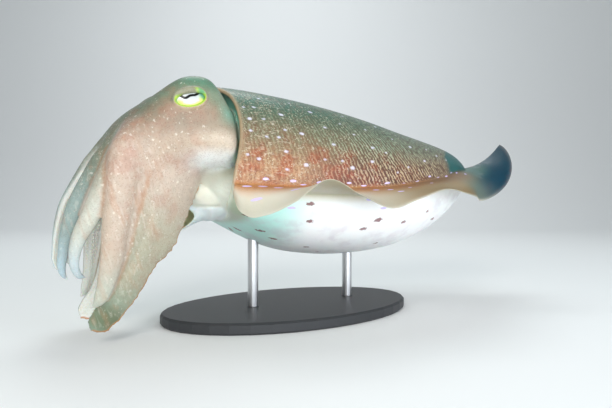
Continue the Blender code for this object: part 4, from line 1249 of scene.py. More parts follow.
blot_gap = mark_gap(BLOTS, 3.2, 1.6, (MANTLE_LABEL,))
dot_gap = mark_gap(DOTS, 1.7, 1.1, (MANTLE_LABEL,))
dash_gap = mark_gap(DASHES, 2.7, 1.0, (MANTLE_LABEL, FIN_LABEL))
under_fin = (label == FIN_LABEL) & (read_normals()[:, 2] < 0)
dash_gap[under_fin] = 9
print("blots, dots and dashes:", len(BLOTS), len(DOTS), len(DASHES), "a side")

# %% [markdown]
# The ring of bright skin inside the lids belongs to the skin too. Here it is the distance from the edge of
# the eye's opening, measured in the opening's own plane, with the place round the edge next to it.

# %% Ring round each eye
ring = np.full((len(points), 3), 20.0)
for word, side in SIDES_OF_BODY:
    own = tilted((points - eye_centre(word)) @ eye_axes(side).T, -1)
    reach = np.hypot(own[:, 0] / EYE_OPENING[0], own[:, 1] / EYE_OPENING[1])
    near_eye = (reach < 3) & (own[:, 2] > 0)
    ring[near_eye] = np.stack([(reach - 1) * EYE_OPENING[1], own[:, 0], own[:, 1]], 1)[near_eye]
print("skin points near the eyes:", int((ring[:, 0] < 3).sum()))

# %% [markdown]
# What was found out is kept on the mesh as attributes: named values, one for every point. A picture with a
# UV map could hold the same, but the points are already closer together than its pixels would be, and
# attributes need no seams.

# %% Storing it all on the mesh
def store(mesh, name, kind, values):
    """Keeps a number, three numbers or a colour for every point of a mesh."""
    field = {"FLOAT": "value", "FLOAT_VECTOR": "vector", "FLOAT_COLOR": "color"}[kind]
    attribute = mesh.attributes.new(name, kind, "POINT")
    attribute.data.foreach_set(field, np.ascontiguousarray(values, np.float32).ravel())


SKIN_ATTRIBUTES = (
    ("coat", "FLOAT_COLOR", np.column_stack([picked[:, :3], np.ones(len(points))])),
    ("marks", "FLOAT_VECTOR", picked[:, 3:6]),
    ("flush", "FLOAT", picked[:, 6]),
    ("thin", "FLOAT", picked[:, 7]),
    ("flank", "FLOAT_VECTOR", np.column_stack([along, up, np.zeros(len(points))])),
    ("crease_gap", "FLOAT", crease_gap),
    ("keel_gap", "FLOAT", keel_gap),
    ("mark_gaps", "FLOAT_VECTOR", np.column_stack([blot_gap, dot_gap, dash_gap])),
    ("ring", "FLOAT_VECTOR", ring),
)
for name, kind, values in SKIN_ATTRIBUTES:
    store(skin.data, name, kind, values)
print("attributes:", [name for name, _, _ in SKIN_ATTRIBUTES])

# %% [markdown]
# ## The skin as a material
# Wet cuttlefish skin is soft and slightly see-through: light enters it and comes out a little further on,
# redder, so a part of its colour is subsurface light, and a thin film of water gives the sheen. Painting it
# by hand would need a picture. Here the mesh tells the shader where each region is, in millimetres, and
# textures with real sizes draw the markings there. First the shader reads what the mesh tells it. One small
# function adds each node with its settings and its links.

# %% Wet living skin: what the mesh tells it
def add_node(tree, kind, inputs=None, **settings):
    """Adds a node. An input is a value, a socket to link from, or a node whose first output is linked."""
    node = tree.nodes.new(kind)
    for key, value in settings.items():
        setattr(node, key, value)
    for key, value in (inputs or {}).items():
        if isinstance(value, bpy.types.Node):
            value = value.outputs[0]
        if isinstance(value, bpy.types.NodeSocket):
            tree.links.new(value, node.inputs[key])
        else:
            node.inputs[key].default_value = value
    return node


wet_skin = bpy.data.materials.new("cuttlefish_skin_wet")
wet_skin.use_nodes = True
tree = wet_skin.node_tree
tree.nodes.clear()
told = {
    name: add_node(tree, "ShaderNodeAttribute", attribute_name=name) for name, _, _ in SKIN_ATTRIBUTES
}
flush, thin, crease_gap, keel_gap = (
    told[name].outputs["Fac"] for name in ("flush", "thin", "crease_gap", "keel_gap")
)
flank = told["flank"].outputs["Vector"]
marks, along_and_round, gaps, ring_place = (
    add_node(tree, "ShaderNodeSeparateXYZ", {0: told[name].outputs["Vector"]}).outputs
    for name in ("marks", "flank", "mark_gaps", "ring")
)
lines, grain, dots = marks
along_body, round_body, _ = along_and_round
blot_gap, dot_gap, dash_gap = gaps
ring_gap, ring_x, ring_y = ring_place
print("attributes read:", list(told))

# %% [markdown]
# Every marking is drawn in a space of its own, measured in millimetres: the plain place for what has no
# direction, a place squeezed along the arms for their streaks, a wavering place for the flecks, and two
# stretched maps of the flank for its pale lines and for the short streaks behind the collar.

# %% Spaces for the patterns
MATH, VECTOR_MATH, RANGE = "ShaderNodeMath", "ShaderNodeVectorMath", "ShaderNodeMapRange"
NOISE, CELLS, WAVE = "ShaderNodeTexNoise", "ShaderNodeTexVoronoi", "ShaderNodeTexWave"
MM_PER_METRE = (1000, 1000, 1000)
ARM_LEAN = math.radians(20)
# How much the streaks of the arms and those behind the collar are drawn out, and how far the flecks waver
ARM_STRETCH, COLLAR_STRETCH, FLECK_WAVER = (1, 1, 0.16), (0.3, 1, 1), (2.4, 2.4, 2.4)
metres = add_node(tree, "ShaderNodeTexCoord").outputs["Object"]
place = add_node(tree, VECTOR_MATH, {0: metres, 1: MM_PER_METRE}, operation="MULTIPLY").outputs[0]
# The arms hang down and lean forwards
down_arms = {"Vector": place, "Angle": ARM_LEAN}
down_arms = add_node(tree, "ShaderNodeVectorRotate", down_arms, rotation_type="Y_AXIS")
down_arms = add_node(tree, VECTOR_MATH, {0: down_arms, 1: ARM_STRETCH}, operation="MULTIPLY")
stir = add_node(tree, NOISE, {"Vector": place, "Scale": 0.6}).outputs["Color"]
wavering = add_node(tree, VECTOR_MATH, {0: stir, 1: FLECK_WAVER, 2: place}, operation="MULTIPLY_ADD")
# The lines stand upright behind the collar and lean more and more towards the tail
lean = add_node(tree, MATH, {0: along_body, 1: 0.004, 2: 0.05}, operation="MULTIPLY_ADD")
leaning = add_node(tree, MATH, {0: lean, 1: round_body, 2: along_body}, operation="MULTIPLY_ADD")
leaning = add_node(tree, "ShaderNodeCombineXYZ", {0: leaning, 1: round_body})
streaked = add_node(tree, VECTOR_MATH, {0: flank, 1: COLLAR_STRETCH}, operation="MULTIPLY")
print("nodes for the spaces:", len(tree.nodes) - len(told))

# %% [markdown]
# A pattern is a texture of a real size, cut off between two values so that only its peaks show. The scale of
# a noise is about one over the size of its lumps, that of cells one over their spacing, and a wave texture
# makes a line every 0.314 / scale. The finest ones, the colour cells, are half a millimetre wide in life and
# are drawn a millimetre wide, so that they show.

# %% Patterns with real sizes
SMOOTH = {"interpolation_type": "SMOOTHSTEP"}
# name: texture, its space, its settings, and the values where it starts and where it is full
PATTERNS = {
    "cloud": (NOISE, place, {"Scale": 0.07, "Detail": 3, "Roughness": 0.6}, 0.42, 0.66),
    "mottle": (NOISE, place, {"Scale": 0.2, "Detail": 4, "Roughness": 0.65}, 0.40, 0.70),
    "speck": (CELLS, place, {"Scale": 0.7}, 0.42, 0.20),
    "bloom": (NOISE, place, {"Scale": 0.045, "Detail": 4, "Roughness": 0.6}, 0.46, 0.66),
    "muscle": (NOISE, down_arms, {"Scale": 0.16, "Detail": 3, "Roughness": 0.6}, 0.50, 0.72),
    "fibre": (NOISE, down_arms, {"Scale": 0.55, "Detail": 2, "Roughness": 0.5}, 0.52, 0.70),
    "line": (WAVE, leaning, {
        "Scale": 0.088, "Distortion": 6.5, "Detail": 3.0, "Detail Scale": 1.7, "Detail Roughness": 0.65,
    }, 0.45, 0.85),
    "break": (NOISE, place, {"Scale": 0.36, "Detail": 4}, 0.36, 0.56),
    "granule": (CELLS, place, {"Scale": 0.55}, 0.34, 0.20),
    "granule_field": (NOISE, place, {"Scale": 0.11, "Detail": 2}, 0.38, 0.60),
    "dash": (NOISE, streaked, {"Scale": 0.6, "Detail": 2}, 0.56, 0.66),
}
pattern = {"flush": flush, "grain": grain, "lines": lines, "dots": dots}
for name, (texture, space, settings, low, high) in PATTERNS.items():
    drawn = add_node(tree, texture, {"Vector": space, **settings})
    pattern[name] = add_node(tree, RANGE, {"Value": drawn, "From Min": low, "From Max": high}, **SMOOTH)
print("patterns:", len(pattern))

# %% [markdown]
# Lines and marks that have a place of their own are drawn from distances: near is full, far is nothing, and
# a little noise added to the distance makes their edges waver or fray as ink in wet skin does. The white
# flecks have no place of their own, so theirs is the distance from the middle of random cells.

# %% Creases, keel, blots, dots and ring
# name, scale and reach in mm of the noises that fray the edges
LUMPS = (("waver", 0.25, 3.2), ("ripple", 0.25, 0.6), ("fray", 0.5, 4.5), ("ragged", 0.8, 1.6))
lumps = {}
for name, scale, reach in LUMPS:
    lumpy = add_node(tree, NOISE, {"Vector": place, "Scale": scale, "Detail": 3, "Roughness": 0.65})
    lumps[name] = add_node(tree, MATH, {0: lumpy, 1: 0.5}, operation="SUBTRACT")
    lumps[name] = add_node(tree, MATH, {0: lumps[name], 1: reach}, operation="MULTIPLY")
# White flecks of up to 1.5 mm: cells whose own random colour sets how far each fleck reaches
fleck_gap = {}
for name, scale, share in (("large", 0.22, 0.24), ("small", 0.42, 0.25)):
    flecks = add_node(tree, CELLS, {"Vector": wavering, "Scale": scale})
    size = add_node(tree, "ShaderNodeSeparateColor", {0: flecks.outputs["Color"]})
    size = add_node(tree, MATH, {0: size, 1: 1.3}, operation="POWER")
    reach = add_node(tree, MATH, {0: size, 1: share}, operation="MULTIPLY")
    fleck_gap[name] = add_node(tree, MATH, {0: flecks.outputs["Distance"], 1: reach}, operation="SUBTRACT")
# name: distance, the noise added to it, and the distances where the mark starts and where it is full
EDGES = {
    "crease": (crease_gap, "waver", 2.8, 0.0),
    "keel": (keel_gap, "ripple", 2.5, 1.0),
    "blot": (blot_gap, "fray", 0.35, -0.3),
    "dot": (dot_gap, "ragged", 0.5, -0.6),
    "root_dash": (dash_gap, None, 0.25, -0.15),
    "ring_outside": (ring_gap, None, 0.9, 0.2),
    "ring_inside": (ring_gap, None, -2.5, -1.5),
    "ring_top": (ring_y, None, 1.5, 4.0),
    "ring_front": (ring_x, None, 7.0, 3.0),
    "ring_rear": (ring_x, None, 5.0, 8.0),
    "ring_high": (ring_y, None, 0.0, 2.5),
    "near_arms": (crease_gap, None, 38.0, 8.0),
    "on_flank": (lines, None, 0.0, 0.15),
    "behind_collar": (along_body, None, 60.0, 15.0),
    "on_belly": (round_body, None, -8.0, -20.0),
    "high_up": (round_body, None, 12.0, 42.0),
    "thick": (thin, None, 0.2, 0.0),
    "large_fleck": (fleck_gap["large"], None, 0.06, -0.07),
    "small_fleck": (fleck_gap["small"], None, 0.06, -0.07),
}
for name, (distance, added, low, high) in EDGES.items():
    if added:
        distance = add_node(tree, MATH, {0: distance, 1: lumps[added]}, operation="ADD")
    pattern[name] = add_node(tree, RANGE, {"Value": distance, "From Min": low, "From Max": high}, **SMOOTH)
# The ring is open in front above: there the upper lid lies over it
lidded = add_node(tree, MATH, {0: pattern["ring_top"], 1: pattern["ring_front"]}, operation="MULTIPLY")
pattern["ring_open"] = add_node(tree, MATH, {0: 1.0, 1: lidded}, operation="SUBTRACT")
pattern["between"] = add_node(tree, MATH, {0: 1.0, 1: pattern["line"]}, operation="SUBTRACT")
print("patterns and marks:", len(pattern))

# %% [markdown]
# The markings are laid over the ground colour from the broadest to the finest. Deepest are red and brown
# colour cells, over them lie the pale lines and granules of the flank, then the orange brown creases and
# keel, the dark red blots of the belly and the white flecks. The violet white dashes along the fin's root and
# the ring in the lids are mirrors of living cells and no pigment, so they are the cleanest colours.

# %% Layers of colour
def painted(tree, colour, layers, masks):
    """The colour with every layer mixed over it: where its masks' product says, as strongly as it says."""
    for needed, strength, hex_colour in layers:
        amount = strength
        for name in needed:
            amount = add_node(tree, MATH, {0: masks[name], 1: amount}, operation="MULTIPLY")
        blend = {0: amount, 6: colour, 7: linear(hex_colour)}
        colour = add_node(tree, "ShaderNodeMix", blend, data_type="RGBA").outputs[2]
    return colour


# Each layer: the patterns that it is the product of, its highest strength and its colour
LAYERS = (
    (("cloud", "flush"), 0.68, "#a54a28"),
    (("bloom", "on_belly", "thick"), 0.32, "#cbbcc6"),
    (("mottle", "grain"), 0.34, "#5e4230"),
    (("muscle", "near_arms"), 0.24, "#b97f58"),
    (("fibre", "near_arms"), 0.16, "#efe7da"),
    (("speck", "grain"), 0.5, "#6a3822"),
    (("between", "lines"), 0.55, "#40302a"),
    (("line", "break", "lines"), 0.70, "#cbbd98"),
    (("line", "break", "lines", "high_up"), 0.72, "#6c9d8a"),
    (("dash", "behind_collar", "on_flank"), 0.36, "#d8cbb4"),
    (("granule", "granule_field", "on_flank"), 0.5, "#cfcbb2"),
    (("crease",), 0.3, "#b0703f"),
    (("keel",), 0.8, "#bd8350"),
    (("blot",), 0.82, "#74262b"),
    (("dot",), 0.78, "#dddcf0"),
    (("large_fleck", "dots"), 0.55, "#ece8da"),
    (("small_fleck", "dots"), 0.4, "#ece8da"),
    (("root_dash",), 1.0, "#d9cbff"),
    (("ring_outside", "ring_inside", "ring_open"), 0.85, "#a6cb34"),
    (("ring_outside", "ring_inside", "ring_open", "ring_rear", "ring_high"), 0.75, "#3b8f78"),
)
colour = painted(tree, told["coat"].outputs["Color"], LAYERS, pattern)
print("layers of colour:", len(LAYERS))

# %% [markdown]
# The relief is skin deep: soft wrinkles 3 mm apart and fine ones under 1 mm, and the pale lines stand a
# little proud. Flesh refracts like water, IOR 1.38, and scatters red light furthest, 4 mm. The film of water
# is a clear coat, which makes the highlights broad and wet. Where a fin is thin, light also falls through it.

# %% Relief, flesh and film of water
LINE_HEIGHT = 0.2
relief = add_node(tree, MATH, {0: pattern["line"], 1: lines}, operation="MULTIPLY")
relief = add_node(tree, MATH, {0: relief, 1: LINE_HEIGHT}, operation="MULTIPLY")
for scale, height in ((0.35, 0.5), (1.4, 0.3)):
    wrinkles = add_node(tree, NOISE, {"Vector": place, "Scale": scale, "Detail": 3, "Roughness": 0.6})
    relief = add_node(tree, MATH, {0: wrinkles, 1: height, 2: relief}, operation="MULTIPLY_ADD")
bump = add_node(tree, "ShaderNodeBump", {"Height": relief, "Strength": 0.5, "Distance": 0.0007})
flesh = add_node(tree, "ShaderNodeBsdfPrincipled", {
    "Base Color": colour,
    "Roughness": 0.46,
    "IOR": 1.38,
    "Subsurface Weight": 0.22,
    "Subsurface Radius": (1.0, 0.45, 0.3),
    "Subsurface Scale": 0.004,
    "Coat Weight": 0.25,
    "Coat Roughness": 0.22,
    "Coat IOR": 1.34,
    "Normal": bump,
})
through = add_node(tree, "ShaderNodeBsdfTranslucent", {"Color": colour, "Normal": bump})
# A third of the light that meets the thinnest margin goes through it
clearness = add_node(tree, MATH, {0: thin, 1: 0.35}, operation="MULTIPLY")
both = add_node(tree, "ShaderNodeMixShader", {0: clearness, 1: flesh, 2: through})
add_node(tree, "ShaderNodeOutputMaterial", {"Surface": both})
print("nodes in the skin:", len(tree.nodes))

# %% [markdown]
# The skin now takes the place of all the solids of flesh. They are hidden, and stay for collisions. The skin
# gets the wet material and rides on the one body.

# %% The skin stands for the flesh
skin.data.materials.clear()
skin.data.materials.append(wet_skin)
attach(skin, "root")
flesh_nodes = [n for n in frame["nodes"] if n.startswith(("mantle", "head", "arm", "fin_", "funnel"))]
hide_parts(*flesh_nodes)
print("the skin stands for", len(flesh_nodes), "solids")

# %% [markdown]
# ## The suckers
# Four staggered rows of suckers cover the inner face of every arm. A sucker is a short cup on a narrower foot
# with a rolled rim and a deep middle, so it is a small turned profile, copied along the arm at the size the
# arm allows. Suckers that would be buried where two arms press together are left out.

# %% Suckers along the arms
# Places across the arm, as shares of its half width, in turn
SUCKER_ROWS = ((-0.66, 0.18), (-0.18, 0.66))
SUCKER_SINK = 1.2
# A sucker's radius as a share of the arm's half width, plus this, and the step to the next as a share of it
SUCKER_SHARE, SUCKER_LEAST, SUCKER_STEP = 0.105, 0.34, 1.18
FIRST_SUCKER, LAST_SUCKER = 0.24, 0.975
# A cup is left out where less than this share of its radius stands free
CUP_FREE = 0.45
# radius and height of the cup's profile, as shares of its radius, from its foot over the rim into its middle
CUP = (
    (0.70, 0.0), (0.68, 0.30), (0.84, 0.52), (1.0, 0.78), (0.97, 0.98), (0.78, 1.04), (0.58, 0.86),
    (0.30, 0.52),
)
CUP_SIDES, CUP_FLOOR = 10, 0.42


def turned_cup(centre, aim, hint, radius, sink):
    """Points of one cup. The faces are the same for all."""
    first = unit(np.cross(np.cross(aim, hint), aim))
    turn = turn_steps(CUP_SIDES)
    circle = np.outer(np.cos(turn), first) + np.outer(np.sin(turn), np.cross(aim, first))
    rings = [centre + circle * radius * CUP[0][0] - aim * sink]
    rings += [centre + circle * radius * r + aim * radius * h for r, h in CUP]
    return skin_rings(rings, centre + aim * radius * CUP_FLOOR)


surface = BVHTree.FromPolygons(points.tolist(), [list(face.vertices) for face in skin.data.polygons])
dice = random.Random(7)
cups = []
for name, side in arm_grids:
    share = FIRST_SUCKER
    step = 0
    length = np.linalg.norm(np.diff(np.array(ARMS[name]["path"]), axis=0), axis=1).sum()
    while share < LAST_SUCKER:
        centre, tangent, sideways, outward, sizes = (v[0] for v in arm_frame(name, side, np.array([share])))
        half, thick, _ = sizes
        radius = SUCKER_SHARE * half + SUCKER_LEAST
        for row in SUCKER_ROWS[step % 2]:
            foot = centre + sideways * half * row - outward * thick / 2 * ORAL_DEPTH * (1 - row**2) ** 0.35
            aim = unit(sideways * row * 0.25 - outward)
            mirror = np.array([1, -side, 1])
            foot, aim, hint = foot * mirror, aim * mirror, tangent * mirror
            hit, normal, _, gap = surface.find_nearest(foot + aim * radius)
            outside = (Vector(foot + aim * radius) - hit).dot(normal)
            if outside > CUP_FREE * radius:
                cups.append(turned_cup(foot, aim, hint, radius * dice.uniform(0.93, 1.07), SUCKER_SINK))
        share += SUCKER_STEP * radius / length
        step += 1
suckers = joined_piece("suckers", cups)
print("suckers:", len(cups))

# %% [markdown]
# A sucker's skin is thin muscle without colour cells, wet like the rest. To the eye it is a cream that glows
# a little at the rims, where light passes through, and is never quite even: a fine speckle of two creams,
# 1.5 mm from lump to lump, over flesh that scatters light.

# %% Sucker skin, cream with a translucent rim
def new_material(name, values):
    """A material with these values on its shader's own sockets, its node tree and the shader."""
    material = bpy.data.materials.new(name)
    material.use_nodes = True
    shader = material.node_tree.nodes["Principled BSDF"]
    for key, value in values.items():
        shader.inputs[key].default_value = value
    return material, material.node_tree, shader


def two_toned(tree, shader, noise, first, second):
    """Lays a mix of two colours on the shader, as a noise with these settings says."""
    blend = {0: add_node(tree, NOISE, noise), 6: linear(first), 7: linear(second)}
    blend = add_node(tree, "ShaderNodeMix", blend, data_type="RGBA")
    tree.links.new(blend.outputs[2], shader.inputs["Base Color"])


sucker_skin, tree, shader = new_material("sucker_skin_wet", {
    "Roughness": 0.38, "IOR": 1.38, "Subsurface Weight": 0.3, "Subsurface Scale": 0.002,
})
metres = add_node(tree, "ShaderNodeTexCoord").outputs["Object"]
two_toned(tree, shader, {"Vector": metres, "Scale": 700.0, "Detail": 2.0}, "#f0f0e9", "#d9dacd")
suckers.data.materials.append(sucker_skin)
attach(suckers, "root")
print("finish of the suckers:", sucker_skin.name)

# %% [markdown]
# ## The eyes
# A cuttlefish's pupil is a thin black W. Round it the iris is a bright mirror, almost white in the middle,
# with an electric yellow-green ring that turns teal above. The ball is a fine ellipsoid whose points know
# their place in the eye's own axes and their distance from the W, so the shader can draw a crisp slit.

# %% Eye balls with a W pupil
# The middle line of the slit on the eye's own axes, in mm
PUPIL = (
    (-7.3, 3.0), (-6.7, 1.7), (-5.4, 0.3), (-3.6, -0.4), (-1.9, 0.3), (-0.6, 1.2), (1.2, 1.7), (3.0, 2.0),
    (4.6, 2.9), (6.0, 4.2),
)


def eye_ball(name, word, side, rows_up=150, rows_round=220):
    """The ball, and its points in the eye's own axes."""
    polar = np.linspace(0, math.pi, rows_up)[1:-1]
    turn = turn_steps(rows_round)
    rings = np.stack([
        np.outer(np.sin(polar), np.cos(turn)),
        np.outer(np.sin(polar), np.sin(turn)),
        np.outer(np.cos(polar), np.ones(rows_round)),
    ], -1)
    local, faces = skin_rings(rings * EYE_SIZE)
    return mesh_piece(name, in_head(local, word, side), faces), local


def slit_distance(local):
    """Distance in mm from the W line, as seen along the eye's aim."""
    keys = [(i, *p) for i, p in enumerate(PUPIL)]
    smooth_line = curve_through(keys, np.linspace(0, len(PUPIL) - 1, 160))
    return np.min(np.linalg.norm(local[:, None, :2] - smooth_line[None], axis=-1), axis=1)


print("pupil: a slit through", len(PUPIL), "points")

# %% [markdown]
# The iris is a layer of mirror cells under a clear, wet cornea. It is drawn from the place in the opening: an
# oval distance from the middle gives the rings, and the distance from the slit gives the pupil, which is pure
# black because the inside of an eye returns no light.

# %% Mirror cells of the iris
# A quarter of mirror: cells reflect a pale glow, and the wet cornea over them a sharp highlight
mirror_iris, tree, shader = new_material("iris_mirror_cells", {
    "Metallic": 0.22, "Roughness": 0.35, "IOR": 1.38, "Coat Weight": 0.5, "Coat Roughness": 0.03,
    "Coat IOR": 1.376,
})
in_opening = add_node(tree, "ShaderNodeAttribute", attribute_name="in_opening").outputs["Vector"]
slit = add_node(tree, "ShaderNodeAttribute", attribute_name="slit").outputs["Fac"]
eye_x, eye_y, _ = add_node(tree, "ShaderNodeSeparateXYZ", {0: in_opening}).outputs
oval = {0: in_opening, 1: (1 / EYE_OPENING[0], 1 / EYE_OPENING[1], 0)}
oval = add_node(tree, VECTOR_MATH, oval, operation="MULTIPLY")
oval = add_node(tree, VECTOR_MATH, {0: oval}, operation="LENGTH").outputs["Value"]
grain = add_node(tree, NOISE, {"Vector": in_opening, "Scale": 0.9, "Detail": 4.0})
waver = add_node(tree, MATH, {0: grain, 1: 0.5}, operation="SUBTRACT")
wavy_oval = add_node(tree, MATH, {0: waver, 1: 0.25, 2: oval}, operation="MULTIPLY_ADD")
wavy_slit = add_node(tree, MATH, {0: waver, 1: 0.08, 2: slit}, operation="MULTIPLY_ADD")
diagonal = add_node(tree, MATH, {0: eye_x, 1: eye_y}, operation="ADD")
# name, value, and where the zone starts and where it is full
ZONES = (
    ("above", eye_y, 2.0, 4.5), ("below", eye_y, 2.5, -2.0), ("ring", wavy_oval, 0.45, 0.8),
    ("edge", wavy_oval, 0.84, 1.0), ("rear", diagonal, 4.5, 8.5), ("outside", wavy_oval, 1.12, 1.3),
    ("front", eye_x, -5.0, -9.0), ("shade", wavy_slit, 1.5, 0.7), ("pupil", wavy_slit, 0.92, 0.76),
    ("spark", grain, 0.56, 0.66),
)
zones = {
    name: add_node(tree, RANGE, {"Value": value, "From Min": low, "From Max": high}, **SMOOTH)
    for name, value, low, high in ZONES
}
# Each layer: the zones that it is the product of, its highest strength and its colour
IRIS_LAYERS = (
    (("above",), 0.55, "#a9c4cf"),
    (("front", "spark"), 0.8, "#4fa7b4"),
    (("ring", "below"), 0.95, "#cfe46a"),
    (("edge",), 0.8, "#9ccb2e"),
    (("rear", "ring"), 0.8, "#3b9480"),
    (("front", "edge"), 0.7, "#7fae9c"),
    (("outside",), 0.9, "#4c5a3a"),
    (("shade",), 0.4, "#7f8a88"),
    (("pupil",), 1.0, "#040404"),
)
colour = painted(tree, linear("#ccd0d0"), IRIS_LAYERS, zones)
tree.links.new(colour, shader.inputs["Base Color"])
print("zones of the iris:", len(zones))

# %% [markdown]
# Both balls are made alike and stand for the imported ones. Each point keeps its place in the opening and its
# distance from the slit, which is what the material reads.

# %% The two eyes
for word, side in SIDES_OF_BODY:
    eye, local = eye_ball(f"eye_ball_{word}", word, side)
    store(eye.data, "in_opening", "FLOAT_VECTOR", tilted(local, -1))
    store(eye.data, "slit", "FLOAT", slit_distance(local))
    eye.data.materials.append(mirror_iris)
    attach(eye, "root")
    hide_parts(f"eye_{word}")
print("eyes:", len(local), "points each")

# %% [markdown]
# ## The mouth
# Inside the ring of arms the mouth is a round lip, drawn into folds, with the dark tip of a horny beak in the
# middle. Both are turned round the axis of the crown. The lip's folds are a wave that grows inwards.

# %% Form of lip and beak
centre, forward, upward, *_ = (v[0] for v in head_line([1.0]))
across = np.cross(forward, upward)
# radius and height above the crown, in mm
LIP = (
    (9.9, 0.2), (9.8, 2.6), (9.0, 5.4), (7.6, 7.4), (6.0, 7.9), (4.6, 7.0), (3.7, 5.2), (3.2, 3.4),
    (2.6, 2.0),
)
MOUTH_POINTS, LIP_RINGS, BEAK_RINGS = 144, 48, 28
# Depth of the folds as a share of the radius, their waves round the lip, and how they wander
LIP_FOLD, LIP_WAVES, LIP_WANDER = 0.035, 18, 5
turn = turn_steps(MOUTH_POINTS)
fold_wave = np.sin(turn * LIP_WAVES + np.sin(turn * LIP_WANDER))
lip_keys = [(i / (len(LIP) - 1), *row) for i, row in enumerate(LIP)]
rings = []
for place_on_lip in np.linspace(0, 1, LIP_RINGS):
    radius, level = curve_through(lip_keys, place_on_lip)[0]
    reach = radius - np.abs(LIP_FOLD * radius * fold_wave * ease(0.15, 0.6, place_on_lip))
    out = np.outer(reach * np.cos(turn), upward) + np.outer(reach * np.sin(turn), across)
    rings.append(centre + forward * level + out)
lip_piece = mesh_piece("mouth_lip", *skin_rings(rings))

# One half of the beak: radius, height, and how far its tip leans over
BEAK = ((3.1, 2.4, 0.0), (2.9, 4.2, 0.1), (2.3, 6.0, 0.4), (1.4, 7.6, 1.0), (0.5, 8.8, 1.6))
# The beak is a little flatter than wide
BEAK_FLATNESS, BEAK_TIP = 0.8, 0.2
beak_keys = [(i / (len(BEAK) - 1), *row) for i, row in enumerate(BEAK)]
rings = []
for place_on_beak in np.linspace(0, 1, BEAK_RINGS):
    radius, level, lean = curve_through(beak_keys, place_on_beak)[0]
    out = np.outer(radius * BEAK_FLATNESS * np.cos(turn), upward) + np.outer(radius * np.sin(turn), across)
    rings.append(centre + forward * level + upward * lean + out)
beak = mesh_piece("mouth_beak", *skin_rings(rings, rings[-1].mean(0) + forward * BEAK_TIP))
print("mouth:", len(lip_piece.data.vertices) + len(beak.data.vertices), "points")

# %% [markdown]
# The lip is wet muscle in a warm flesh colour, and scatters light, so its folds look soft. The beak is horn:
# near black with brown in it, and hard and polished by use, so it shows small sharp highlights. Horn refracts
# more than flesh, IOR 1.55. Without a place the noises measure in the piece's own box, 20 mm for the lip and
# 6 mm for the beak: their grain is finer than 0.1 mm, so the eye sees the two colours as one deep tone.

# %% Wet lip and dark horn
# piece, material, its values, its noise and its two colours
FINISHES = (
    (lip_piece, "lip_skin_wet", {"Roughness": 0.4, "Subsurface Weight": 0.3, "Subsurface Scale": 0.003},
     {"Scale": 400.0, "Detail": 3.0}, "#e6d3c0", "#c9a990"),
    (beak, "beak_dark_horn", {"Roughness": 0.28, "IOR": 1.55},
     {"Scale": 250.0, "Detail": 4.0, "Distortion": 1.0}, "#1c0f09", "#4a2c19"),
)
for piece, name, values, noise, first, second in FINISHES:
    material, tree, shader = new_material(name, values)
    two_toned(tree, shader, noise, first, second)
    piece.data.materials.append(material)
    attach(piece, "root")
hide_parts("mouth")
print("finishes of the mouth:", [row[1] for row in FINISHES])

# %% [markdown]
# ## The stand
# The stand is plain: an oval plate and two rods. The plate is steel with a matt powder coat, whose surface is
# a fine orange peel, 1 mm from lump to lump and 0.2 mm deep at most, that blurs what it mirrors. The rods are
# drawn steel, brushed along their length, which lets their highlights run out along them.

# %% Powder coat and brushed steel
powder, tree, shader = new_material("stand_steel_powder_coat", {
    "Base Color": linear("#2b2d30"), "Roughness": 0.5, "IOR": 1.5,
})
metres = add_node(tree, "ShaderNodeTexCoord").outputs["Object"]
peel = add_node(tree, NOISE, {"Vector": metres, "Scale": 900.0, "Detail": 3.0})
bump = add_node(tree, "ShaderNodeBump", {"Height": peel, "Strength": 0.25, "Distance": 0.0002})
tree.links.new(bump.outputs[0], shader.inputs["Normal"])

steel, tree, shader = new_material("stand_rod_brushed_steel", {
    "Base Color": linear("#c9cacc"), "Metallic": 1.0,
})
# Brush marks a quarter of a millimetre wide and 30 mm long, which only change how rough the steel is
BRUSH_MARKS = (4000, 4000, 30)
metres = add_node(tree, "ShaderNodeTexCoord").outputs["Object"]
drawn = add_node(tree, "ShaderNodeMapping", {"Vector": metres, "Scale": BRUSH_MARKS})
brush = add_node(tree, NOISE, {"Vector": drawn, "Scale": 1.0, "Detail": 2.0})
rough = add_node(tree, RANGE, {"Value": brush, "To Min": 0.22, "To Max": 0.42})
tree.links.new(rough.outputs[0], shader.inputs["Roughness"])

for node, finish in (("stand_base", powder), ("stand_rod_front", steel), ("stand_rod_rear", steel)):
    for material_slot in frame["nodes"][node].material_slots:
        material_slot.material = finish
print("stand finished")

# %% [markdown]
# ## Light and floor
# A pale sweep of paper is floor and background in one: flat under the animal, then a quarter circle, then
# upright. Paper is matt, so it shows no highlights, only soft shadows.

# %% Floor and background
# The sweep's near edge, where its bend starts, the bend's radius, its top and half its width, in metres
SWEEP_NEAR, SWEEP_BEND, SWEEP_RADIUS, SWEEP_TOP, SWEEP_REACH = -2.5, 1.4, 0.9, 3.5, 4
BEND_STEPS = 24
heading = np.array([math.sin(CAMERA_HEADING), math.cos(CAMERA_HEADING), 0])
rightward = np.array([math.cos(CAMERA_HEADING), -math.sin(CAMERA_HEADING), 0])
profile = [(SWEEP_NEAR, 0.0), (SWEEP_BEND, 0.0)]
profile += [
    (SWEEP_BEND + SWEEP_RADIUS * math.sin(a), SWEEP_RADIUS - SWEEP_RADIUS * math.cos(a))
    for a in np.linspace(0, math.pi / 2, BEND_STEPS)[1:]
]
profile.append((SWEEP_BEND + SWEEP_RADIUS, SWEEP_TOP))
sweep_points = [
    heading * away + rightward * reach + (0, 0, level)
    for away, level in profile for reach in (-SWEEP_REACH, SWEEP_REACH)
]
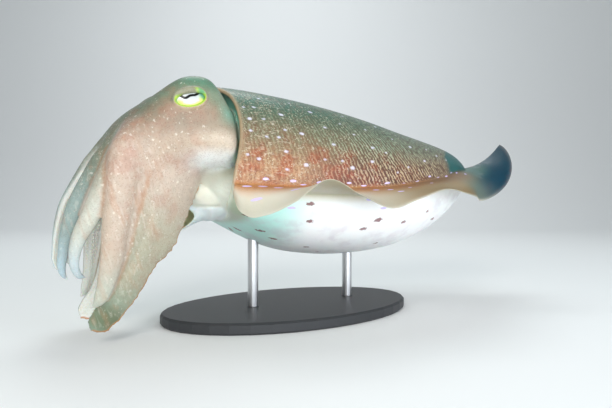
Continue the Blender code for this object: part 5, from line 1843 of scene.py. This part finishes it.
sweep_faces = [(2 * i, 2 * i + 1, 2 * i + 3, 2 * i + 2) for i in range(len(profile) - 1)]
mesh = bpy.data.meshes.new("paper_sweep")
mesh.from_pydata([tuple(p) for p in sweep_points], [], sweep_faces)
mesh.shade_smooth()
sweep = bpy.data.objects.new("paper_sweep", mesh)
bpy.context.scene.collection.objects.link(sweep)
paper, _, _ = new_material("backdrop_paper", {"Base Color": linear("#eef0f0"), "Roughness": 0.9})
mesh.materials.append(paper)
print("sweep of paper:", len(sweep_points), "points")

# %% [markdown]
# A large soft light from the upper left, near the camera, models the head, a weaker one fills from the right,
# and a low one stands in for the light that a pale floor sends up to the belly. One from above and behind
# draws the line of the back, and one more lights the paper.

# %% Lights and sky
# name, place, aim, width in metres, watts and colour
LIGHTS = (
    ("key", (-0.72, -0.8, 0.62), (-0.08, 0, 0.12), 0.55, 6.0, "#fffaf4"),
    ("fill", (0.40, -1.0, 0.22), (0.03, 0, 0.08), 0.8, 6.5, "#f0f6ff"),
    ("bounce", (-0.25, -0.80, 0.04), (0.05, 0, 0.05), 0.5, 4.0, "#f4faff"),
    ("top", (0.1, 0.35, 1.1), (0.05, 0, 0.1), 0.8, 3.5, "#eaf6f6"),
    ("paper_light", (0.35, 0.95, 1.5), (1.0, 1.5, 0.4), 1.0, 11.0, "#f6f9fb"),
)
for name, place, aim, size, watts, hex_colour in LIGHTS:
    data = bpy.data.lights.new(name, "AREA")
    data.shape = "DISK"
    data.size = size
    data.energy = watts
    data.color = linear(hex_colour)[:3]
    lamp = bpy.data.objects.new(name, data)
    lamp.location = place
    lamp.rotation_euler = (Vector(aim) - Vector(place)).to_track_quat("-Z", "Y").to_euler()
    bpy.context.scene.collection.objects.link(lamp)

# Weak light from all round, as from the walls of a white room
world = bpy.data.worlds.new("studio")
world.use_nodes = True
sky = world.node_tree.nodes["Background"]
sky.inputs["Color"].default_value = linear("#e8eef2")
sky.inputs["Strength"].default_value = 0.42
bpy.context.scene.world = world
bpy.context.scene.view_settings.view_transform = "Standard"
print("lights:", [row[0] for row in LIGHTS])
